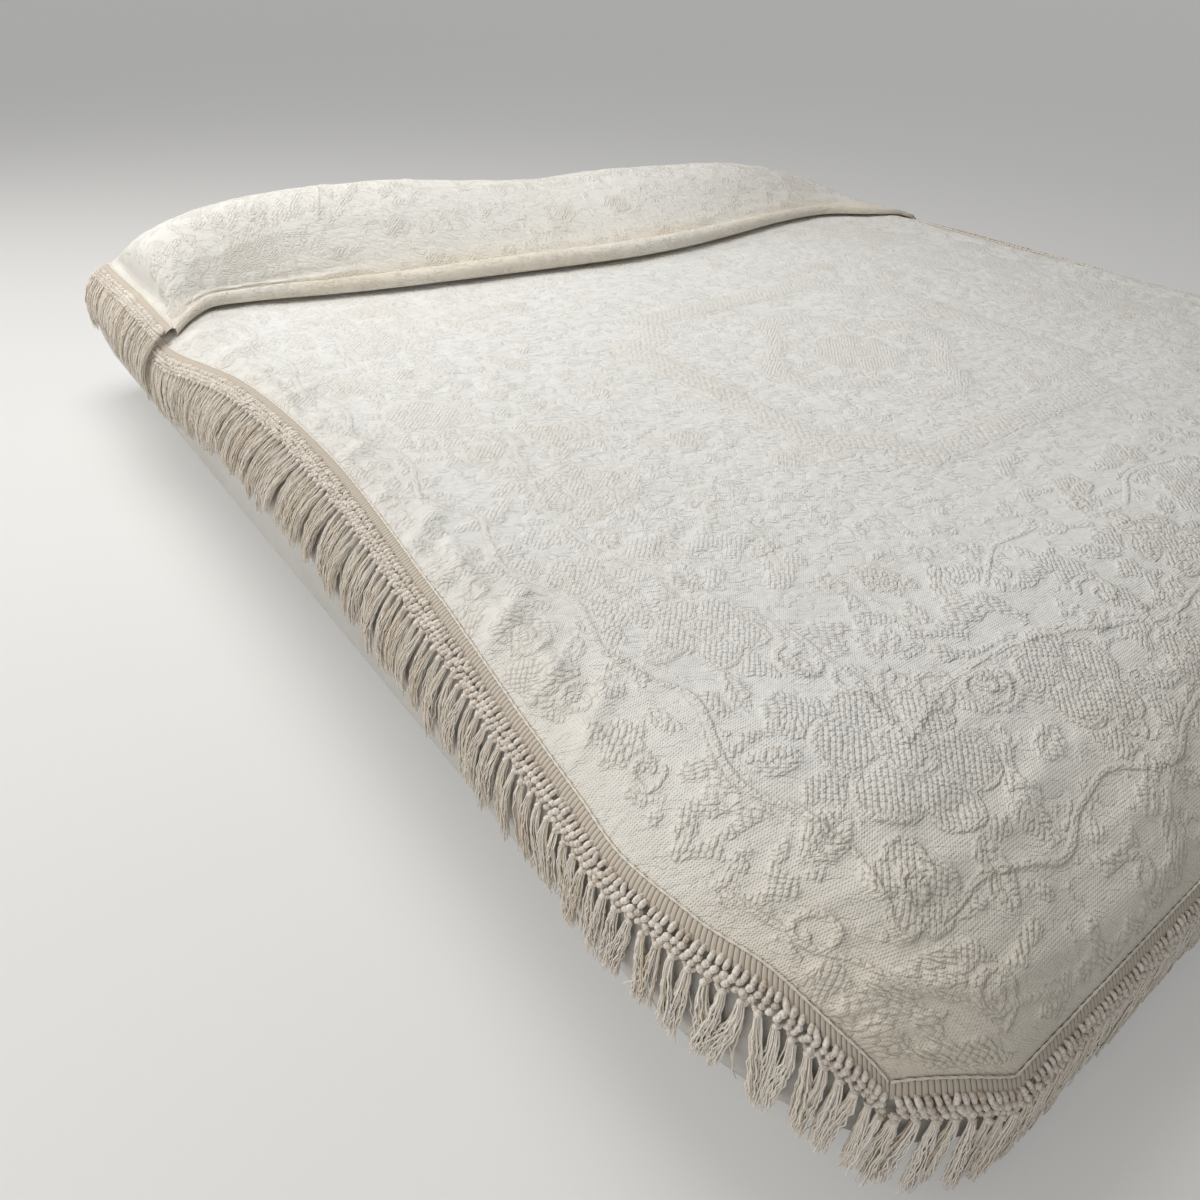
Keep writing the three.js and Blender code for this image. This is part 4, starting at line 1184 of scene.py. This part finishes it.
def sheet_relief(design, across, y, near_edge, from_foot, lip_at):
    """The height of the weave and the slack over the sheet, as far as its cells can hold it."""
    cell = np.maximum(np.gradient(across, axis=1), np.gradient(y, axis=0)).ravel()
    soft = np.maximum(cell * 0.8, 2.6)
    patch = PATCH_RELIEF * smooth(-1, 1.4, design.raised / soft)
    line = LINE_RELIEF * np.exp(-((design.rope / (soft * 1.15)) ** 2)) * (2.6 / soft)
    slack = bumps(across / 95, y / 42, 3) * 0.9 + bumps(across / 38, y / 17, 4) * 0.75
    slack = slack + bumps(across / 210, y / 120, 5) * 1.2
    roll = smooth(FLAT_FOOT + 40, FLAT_FOOT - 180, y)
    slack = slack * mix(1, 1.7, roll) + 0.6
    held = smooth(0, 16, near_edge) * smooth(0, 22, from_foot)
    height = (patch + line).reshape(y.shape) + np.maximum(slack, -0.2)
    height = height * held + fold_height(across, y, FOLDS, 0.05) * smooth(0, 12, near_edge)
    return height + fold_height(across, y - lip_at, LIP_FOLDS, 0.01)


def sheet_slack_and_painted_shade(across, y, near_edge, from_foot, lip_at):
    """Where the cloth lies slack, and where painted warm shade and painted shade lie on it."""
    slack = smooth(FLAT_FOOT - 40, FLAT_FOOT + 260, y) - 0.5 * smooth(lip_at, lip_at + 120, y)
    slack = np.maximum(slack - 0.5 * smooth(190, 50, near_edge), 0)
    uneven = 1 + 0.5 * bumps(across / 150, y / 40, 91)
    # Painted warm shade under the lip, toward the foot, by the edges near the foot, faintly past
    # the lip.
    painted_warm_shade = 0.5 * uneven * np.exp(-(((y - lip_at - 30) / 72) ** 2))
    painted_warm_shade = painted_warm_shade + 0.4 * smooth(330, 0, from_foot) + 0.1 * smooth(lip_at, lip_at + 60, y)
    painted_warm_shade = painted_warm_shade + 0.2 * smooth(260, 10, near_edge) * smooth(-250, -750, y)
    # Painted shade along the side edges and toward the foot.
    painted_edge_shade = 0.14 * smooth(80, 5, near_edge) + 0.05 * smooth(260, 0, from_foot)
    return {"slack": slack, "painted_warm_shade": np.minimum(painted_warm_shade, 1), "painted_edge_shade": painted_edge_shade}


def bedspread(material):
    """One woven sheet, draped over the bed and tucked in under the pillows."""
    shares = column_shares()
    points, shown, fold_row = sheet_rows(shares)
    rows, columns = points.shape[:2]
    middle = int(np.argmin(np.abs(shares)))
    along = run_along(points[:, middle])
    along = along - along[fold_row] + TUCK_Y
    across = run_along(points.transpose(1, 0, 2)).T
    across = across - across[:, middle:middle + 1]
    y = np.repeat(along[:, None], columns, axis=1)

    left, right = float(across[WIDE_ROW].min()), float(across[WIDE_ROW].max())
    foot, head = float(along[0]), float(along[-HEM_ROWS])
    design = woven_design(across, y, left, right, foot, head)
    near_edge = np.minimum(across - across[:, :1], across[:, -1:] - across)
    lip_at = float(along[fold_row + LIP_ROWS])
    lie = (across, y, near_edge, y - foot, lip_at)
    height = sheet_relief(design, *lie) * shown[:, None]

    normal = unit(np.cross(np.gradient(points, axis=1), np.gradient(points, axis=0)))
    mesh = mesh_from("spread_cloth", points + normal * height[..., None],
                     grid_faces(rows, columns))
    add_uv(mesh, "cloth", np.stack([across, y], axis=-1).reshape(-1, 2) * METRE)
    woven = {name: getattr(design, name) for name in ("raised", "rope", "lean")}
    for name, values in {**woven, **sheet_slack_and_painted_shade(*lie)}.items():
        add_attribute(mesh, name, values)
    return add_object("spread_cloth", mesh, material)


# ---- Heading tape, cord, knots and tassels --------------------------------------------------

# One rib of the tape by shares of its pitch, and the tape's crown by the distance down it.
RIB = table("at high", (0, 0), (0.12, 0.72), (0.32, 1), (0.68, 1), (0.88, 0.72))
CROWN = table("down full", (TAPE_FROM - 1.2, 0), (TAPE_FROM + 1, 0.7), (5.5, 1), (10, 1),
              (TAPE_TO - 1, 0.8), (TAPE_TO + 1.5, 0.2))


def heading_tape(name, skirt, material):
    """A ribbed tape: plump ribs across it, with a narrow groove between each two."""
    start, stop = skirt.span()
    ribs = np.arange(start, stop - RIB_PITCH, RIB_PITCH)[:, None]
    run = np.append((ribs + RIB_PITCH * RIB["at"]).ravel(), stop)
    rib = np.append(np.tile(RIB["high"], len(ribs)), 0)[None]
    crown = CROWN["full"][:, None]
    height = 0.9 + 1.15 * rib * crown + 0.5 * crown
    points = skirt.at(run[None], CROWN["down"][:, None], height)
    faces = grid_faces(*height.shape)
    mesh = mesh_from(name, points, faces[:, ::-1] if skirt.turned else faces)
    add_attribute(mesh, "rib", rib * crown)
    return add_object(name, mesh, material)


def line_mesh(name, points, **attributes):
    """Lines through rows of points, as a mesh of edges."""
    lines, steps = points.shape[:2]
    first = (np.arange(lines)[:, None] * steps + np.arange(steps - 1)).ravel()
    mesh = mesh_from(name, points, edges=np.stack([first, first + 1], axis=1))
    for key, values in attributes.items():
        add_attribute(mesh, key, np.broadcast_to(values, (lines, steps)))
    return mesh


def edge_cord(name, skirt, growth, material):
    """The thin cord that is sewn on along the edge."""
    start, stop = skirt.span()
    run = np.arange(start + 1, stop - 1, 4.0)
    points = skirt.at(run, 0.35 * ripple(run, 22, 31), 1.5)[None]
    return growth.grow(name, line_mesh(name, points), material)


def knot_pitch(skirt):
    """Where the knots start along a stretch of edge, their even pitch, and how many there are."""
    start, stop = skirt.span()
    count = int(round((stop - start) / KNOT_PITCH))
    return start, (stop - start) / count, count


# Turns of yarn in each pitch of the knotted band. Each is a curve between four places, given
# by its middle's share of the pitch, and each place's step along, way down and lift.
TURNS = table(
    "middle radius a0 d0 l0 a1 d1 l1 a2 d2 l2 a3 d3 l3",
    # Loops out of the tape, and two rows of round knots.
    *[(at, 2.7, -1.9, 11.2, 1.0, -1.2, 13.0, 5.0, 0.6, 17.6, 5.2, 1.6, 20.6, 2.0)
      for at in (0.0, 0.5)],
    *[(at, 3.3, -2.7, 21.0, 2.2, -1.2, 20.6, 4.8, 1.4, 24.0, 4.8, 2.7, 24.0, 2.4)
      for at in (0.15, 0.65)],
    *[(at, 3.2, -2.6, 26.8, 2.0, -1.2, 26.2, 4.6, 1.4, 29.6, 4.4, 2.6, 29.4, 2.2)
      for at in (-0.1, 0.4)],
    # A collar, and the two legs that run into it.
    *[(0.0, 2.2, hand * 5.4, 30.0, 2.2, hand * 3.8, 31.6, 3.6, hand * 2.0, 33.2, 3.6,
       hand * 0.8, 35.4, 3.0) for hand in (-1, 1)],
    (0.0, 3.3, -0.5, 31.6, 2.8, -1.6, 33.4, 5.0, 1.6, 34.8, 5.0, 0.4, 37.4, 2.8),
)
TURN_POINTS = 6


def knotted_band(name, skirt, growth, material, seed, sides):
    """The rows of knots between the tape and the tassels, no two quite alike."""
    rng = np.random.default_rng(seed)
    start, pitch, count = knot_pitch(skirt)
    t = np.linspace(0, 1, TURN_POINTS)
    weights = np.stack([(1 - t) ** 3, 3 * t * (1 - t) ** 2, 3 * t**2 * (1 - t), t**3])
    lines, thick, tone, twist = [], [], [], []
    for turn in zip(*TURNS.values()):
        middle, radius, places = turn[0], turn[1], np.array(turn[2:]).reshape(4, 3)
        runs = start + (np.arange(count) + 0.5 + middle) * pitch
        runs = np.clip(runs, start + 3, start + count * pitch - 3)
        hand = np.where(rng.uniform(0, 1, count) < 0.12, -1, 1)
        wander = rng.normal(0, 0.55, (3, count, 1))
        along = (places[:, 0] @ weights)[None] * hand[:, None] + runs[:, None] + wander[0]
        sag = 0.9 * ripple(runs, 60, seed)[:, None]
        down = (places[:, 1] @ weights)[None] + wander[1] + sag
        lift = np.maximum((places[:, 2] @ weights)[None] + wander[2] * 0.6, 0.8)
        lines.append(skirt.at(along, down, lift))
        full = radius * rng.uniform(0.88, 1.1, (count, 1))
        thick.append(full * (0.45 + 0.55 * np.sin(math.pi * t) ** 0.6)[None] * METRE)
        # Painted shade: the lower a turn lies, the darker its tone, plus a random tone for each
        # knot.
        tone.append(np.clip(0.75 - lift / 7 + rng.normal(0, 0.12, (count, 1)), 0, 1))
        twist.append(np.broadcast_to(t[None] * 14 + wander[0] * 9, lift.shape))
    thick, tone, twist = [np.concatenate(values) for values in (thick, tone, twist)]
    mesh = line_mesh(name, np.concatenate(lines), thick=thick, tone=tone, twist=twist)
    return growth.grow(name, mesh, material, Sides=sides)


STRAND_POINTS = 10


def gathered(run, rng, span):
    """Where the tassels' ends draw together: the place each one leans to, in uneven clumps."""
    middles = np.cumsum(rng.uniform(19, 43, int(span / 25) + 4)) - 30
    return middles[np.argmin(np.abs(run[:, None] - middles), axis=1)]


def tassels(name, skirt, growth, material, seed, yarns):
    """Loose tassels: crinkled yarns that spread from each collar and gather into clumps."""
    rng = np.random.default_rng(seed)
    start, pitch, count = knot_pitch(skirt)
    collars = start + (np.arange(count) + 0.5) * pitch
    many = count * yarns
    t = np.linspace(0, 1, STRAND_POINTS)

    def each(values):
        return np.asarray(values)[:, None]

    def by_tassel(values):
        return each(np.repeat(values, yarns))

    root = by_tassel(collars)
    pull = gathered(collars, rng, start + count * pitch) - collars
    pull = pull * rng.uniform(0.4, 0.72, count)
    drift = 9 * ripple(collars, 90, seed + 1) + rng.normal(0, 1.8, count)
    shorter = 1 + 0.07 * rng.normal(0, 1, count)
    length = by_tassel(TASSEL_LENGTH * shorter + skirt.longer(collars))
    length = length * each(rng.uniform(0.86, 1.06, many))

    angle, spread = rng.uniform(0, 2 * math.pi, many), np.sqrt(rng.uniform(0, 1, many))
    open_out = each(spread) * (0.42 + 0.5 * np.sin(math.pi * np.minimum(t * 1.1, 1) * 0.62))
    stray = np.where(rng.uniform(0, 1, many) < 0.07, rng.normal(0, 10, many), 0)
    swing = by_tassel(pull) * smooth(0, 0.85, t) + by_tassel(drift) * t**1.4
    swing = swing + each(stray) * t**2.2

    def crinkle(strength):
        waves = 0
        for _ in range(2):
            turns = length / each(rng.uniform(15, 30, many))
            start_at = each(rng.uniform(0, 2 * math.pi, many))
            high = each(rng.uniform(0.4, 1.0, many))
            waves = waves + high * np.sin(2 * math.pi * t * turns + start_at)
        return strength * waves * np.minimum(t * 5, 1)

    run = root + open_out * each(np.cos(angle)) * 8.4 + swing + crinkle(0.85)
    lift = FRINGE_LIFT + open_out * each(np.sin(angle)) * 4.6 + crinkle(0.7)
    lift = np.clip(lift + by_tassel(rng.normal(0, 1.1, count)) * t, 0.3, 10)
    depth = TASSELS_FROM + length * t
    low, high = skirt.span()
    points = skirt.at(np.clip(run, low - 4, high + 4), depth, lift)

    taper = np.interp(t, [0, 0.08, 0.93, 1], [0.8, 1, 0.95, 0.6])
    thick = each(rng.uniform(0.68, 0.98, many)) * taper
    tone = np.clip(rng.normal(0.3, 0.26, many), 0, 1)
    # Painted shade on each tassel's inner side, strongest at its collar.
    inside = np.clip(0.5 - each(np.sin(angle) * spread) * 0.6, 0, 1) * mix(1.0, 0.5, t)
    mesh = line_mesh(name, points, thick=thick * METRE, tone=each(tone), inside=inside)
    return growth.grow(name, mesh, material, Sides=3)


# ---- Mattress and pillows -------------------------------------------------------------------

RING_DEGREES = (1, 6, 12, 19, 26, 34, 42, 50, 58, 66, 74, 82, 90, 100, 110, 122, 134, 146, 158,
                170, 179)


def mattress(material):
    """Rings round the rim, from the flat top over the widest line to the flat underside."""
    corner = np.radians(np.linspace(0, 90, 15))
    side_y = np.linspace(CORNER_TO * 0.75, CORNER_FROM, 9)
    spots = []
    for sign in (1, -1):
        spots += [
            *[(sign, True, angle, None) for angle in corner[::-1]],
            *[(sign, True, 0.0, y) for y in side_y],
            *[(sign, False, angle, None) for angle in corner],
        ][::sign]

    def ring(turn):
        over = turn <= math.pi / 2
        reach, back = (math.sin(turn), 0) if over else (1, 1 - math.sin(turn))
        points = []
        for sign, at_foot, angle, y in spots:
            end_sign = -1 if at_foot else 1
            end_rim, under = (FOOT_RIM, FOOT_UNDER_RIM) if at_foot else (HEAD_RIM, HEAD_RIM)
            drop = mix(SIDE_DROP, FOOT_DROP, math.sin(angle) ** 2) if at_foot else SIDE_DROP
            start = y if y is not None else (FLAT_FOOT if at_foot else FLAT_HEAD)
            widest = start + end_sign * math.sin(angle) * end_rim * reach
            across = (flat_half_width(widest) + side_reach(widest) * math.cos(angle) * reach
                      - SIDE_RIM * math.cos(angle) * back)
            low = HEIGHT - drop
            z = HEIGHT - drop * (1 - math.cos(turn)) if over else low * (1 + math.cos(turn))
            points.append((sign * across, widest - end_sign * math.sin(angle) * under * back, z))
        return points

    rings = [ring(math.radians(degrees)) for degrees in RING_DEGREES]
    rings[0] = [(x, y, HEIGHT) for x, y, _ in rings[0]]
    rings[-1] = [(x, y, 0) for x, y, _ in rings[-1]]
    around = len(spots)
    points = np.array(rings).reshape(-1, 3)
    faces = grid_faces(len(rings), around, wrap=True)[:, ::-1].tolist()
    faces += [list(range(around)), list(range(len(points) - around, len(points)))[::-1]]
    return add_object("mattress_body", mesh_from("mattress_body", points, faces), material)


PILLOW_INNER, PILLOW_OUTER, PILLOW_BACK = 6, 852, 962
PILLOW_INSET, SEAT_GAP, CLOTH_GAP, RIM_WIDTH, SEAM_SHARE = 6, 0.45, 4, 70, 0.4
LEAST_SEAM, ROUNDNESS, PILLOW_FILL = 1.8, 0.6, 0.97
STEP_FROM, STEP_TO = 56, 110


def pillow(name, side, material):
    """A plump pillow between the tucked layers and the cloth over it."""
    ease = (1 - np.cos(np.linspace(0, math.pi, 41))) / 2
    x = side * mix(PILLOW_INNER, PILLOW_OUTER, ease)[None, :]
    front = lip("pillow", x) + PILLOW_INSET
    y = mix(front, PILLOW_BACK, (1 - np.cos(np.linspace(0, math.pi, 31)))[:, None] / 2)
    x = np.broadcast_to(x, y.shape)

    def round_off(distance):
        return np.sin(np.clip(distance / RIM_WIDTH, 0, 1) * math.pi / 2) ** ROUNDNESS

    layers = FLAT_LIFT + TUCK_PITCH + THICK / 2 + SEAT_GAP
    under = mix(layers, SEAT_GAP, smooth(TUCK_Y + STEP_FROM, TUCK_Y + STEP_TO, y))
    over = upper_lift(x, y) - THICK / 2 - CLOTH_GAP
    rim = (round_off(np.abs(x) - PILLOW_INNER) * round_off(PILLOW_OUTER - np.abs(x))
           * round_off(y - front) * round_off(PILLOW_BACK - y))
    seam = np.maximum(mix(under, over, SEAM_SHARE), under + LEAST_SEAM)
    top = np.stack([x, y, HEIGHT + mix(seam, over * PILLOW_FILL, rim)], axis=-1)
    bottom = np.stack([x, y, HEIGHT + mix(seam, under, rim)], axis=-1)
    # The two halves share the points of the seam.
    number = np.arange(y.size).reshape(y.shape)
    halved = number + y.size
    halved[[0, -1]], halved[:, [0, -1]] = number[[0, -1]], number[:, [0, -1]]
    faces = grid_faces(*y.shape)
    faces = np.concatenate([faces, halved.ravel()[faces][:, ::-1]])
    used, faces = np.unique(faces, return_inverse=True)
    points = np.concatenate([top.reshape(-1, 3), bottom.reshape(-1, 3)])[used]
    mesh = mesh_from(name, points, faces.reshape(-1, 4)[:, ::side])
    return add_object(name, mesh, material)


# ---- Stage ----------------------------------------------------------------------------------

def area_light(name, place, target, size, power):
    """A soft lamp that looks from its place at its target."""
    light = bpy.data.lights.new(name, "AREA")
    light.shape, light.size, light.size_y = "RECTANGLE", size[0], size[1]
    light.energy = power
    made = add_object(name, light)
    made.location = place
    direction = made.location - type(made.location)(target)
    made.rotation_euler = direction.to_track_quat("Z", "Y").to_euler()


FLOOR_REACH = 40000
FLOOR_GLOW = (0.2, 0.2, 0.196)
ROOM_COLOUR = (0.97, 0.98, 1.0, 1)
ROOM_LIGHT, ROOM_SEEN = 0.28, 0.42   # the room's light, and how much brighter it looks itself
LAMPS = (
    ("ceiling", (-0.6, 0.75, 2.3), (-0.3, 0.35, 0.2), (1.5, 1.5), 34),
    ("window", (-2.9, 2.3, 1.7), (-0.4, -0.2, 0.2), (1.6, 1.2), 40),
    ("side", (-2.8, -1.1, 0.75), (-0.9, -0.5, 0.2), (1.8, 1.0), 11),
)


def stage():
    """A plain pale floor, three soft lamps and a pale room."""
    low, high = -FLOOR_REACH, FLOOR_REACH
    corners = [(low, low, 0), (high, low, 0), (high, high, 0), (low, high, 0)]
    paint = Finish("floor_paint", FLOOR, roughness=0.8)
    paint.feed("Emission Color", paint.blend(paint.looked_at(), (0, 0, 0), FLOOR_GLOW))
    paint.shader.inputs["Emission Strength"].default_value = 1.0
    ground = mesh_from("floor", corners, [(0, 1, 2, 3)], smooth_faces=False)
    add_object("floor", ground, paint.material)
    for lamp in LAMPS:
        area_light(*lamp)
    world = bpy.data.worlds.new("room")
    world.use_nodes = True
    background = world.node_tree.nodes["Background"]
    background.inputs["Color"].default_value = ROOM_COLOUR
    level = Graph(world.node_tree).looked_at() * ROOM_SEEN + ROOM_LIGHT
    world.node_tree.links.new(level.socket, background.inputs["Strength"])
    bpy.context.scene.world = world
    bpy.context.scene.view_settings.view_transform = "Standard"


# The camera's place in metres, the directions it is turned in, and its lens in millimetres.
EYE = (-1.227, -1.073, 0.8165)
EYE_RIGHT, EYE_UP, EYE_FORWARD = (
    (0.7988, -0.6008, 0.0324), (0.3334, 0.4869, 0.8074), (0.5008, 0.6341, -0.5892))
LENS, SENSOR = 27, 36
NEAREST, FARTHEST = 0.05, 200


def camera():
    """The camera at its place, with its three directions."""
    lens = bpy.data.cameras.new("camera")
    lens.lens, lens.sensor_width = LENS, SENSOR
    lens.clip_start, lens.clip_end = NEAREST, FARTHEST
    made = add_object("camera", lens)
    axes = np.stack([EYE_RIGHT, EYE_UP, -np.array(EYE_FORWARD)], 1)
    made.matrix_world = Matrix([[*row, at] for row, at in zip(axes, EYE)] + [[0, 0, 0, 1]])
    bpy.context.scene.camera = made


# ---- Assembly -------------------------------------------------------------------------------

def fit(piece, slot, *nodes):
    """Ride on the one body and stand for CAD nodes; the slot is not used."""
    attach(piece, "root")
    if nodes:
        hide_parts(*nodes)
    return piece


camera()
stage()

cloth, tape_cloth, yarn, knot_yarn, cord_yarn = (
    cloth_finish(), tape_finish(), yarn_finish(), knot_finish(), cord_finish())
ticking, pillowcase = ticking_finish(), pillowcase_finish()
strands, cords = strand_growth(), cord_growth()

spread = fit(bedspread(cloth), "matelasse_cloth", "bedspread")
trims = []
# The stretches by name: each one's seed, the yarns in a tassel, and the sides of a knot's yarn.
YARNS = {"left": (41, 26, 6), "right": (43, 9, 4), "foot": (47, 22, 5),
         "left_head": (53, 18, 5), "right_head": (59, 9, 4)}
for name, skirt in skirts().items():
    seed, count, sides = YARNS[name]
    tape = heading_tape("tape_" + name, skirt, tape_cloth)
    cord = edge_cord("cord_" + name, skirt, cords, cord_yarn)
    knots = knotted_band("knots_" + name, skirt, strands, knot_yarn, seed, sides)
    hanging = tassels("tassels_" + name, skirt, strands, yarn, seed, count)
    trims += [
        fit(tape, "heading_tape", "heading_" + name), fit(cord, "fringe_yarn"),
        fit(knots, "fringe_yarn"), fit(hanging, "fringe_yarn", "fringe_" + name),
    ]

fit(mattress(ticking), "ticking", "mattress")
for side, name in ((-1, "left"), (1, "right")):
    soft = pillow("pillow_body_" + name, side, pillowcase)
    fit(soft, "pillowcase", "pillow_" + name)
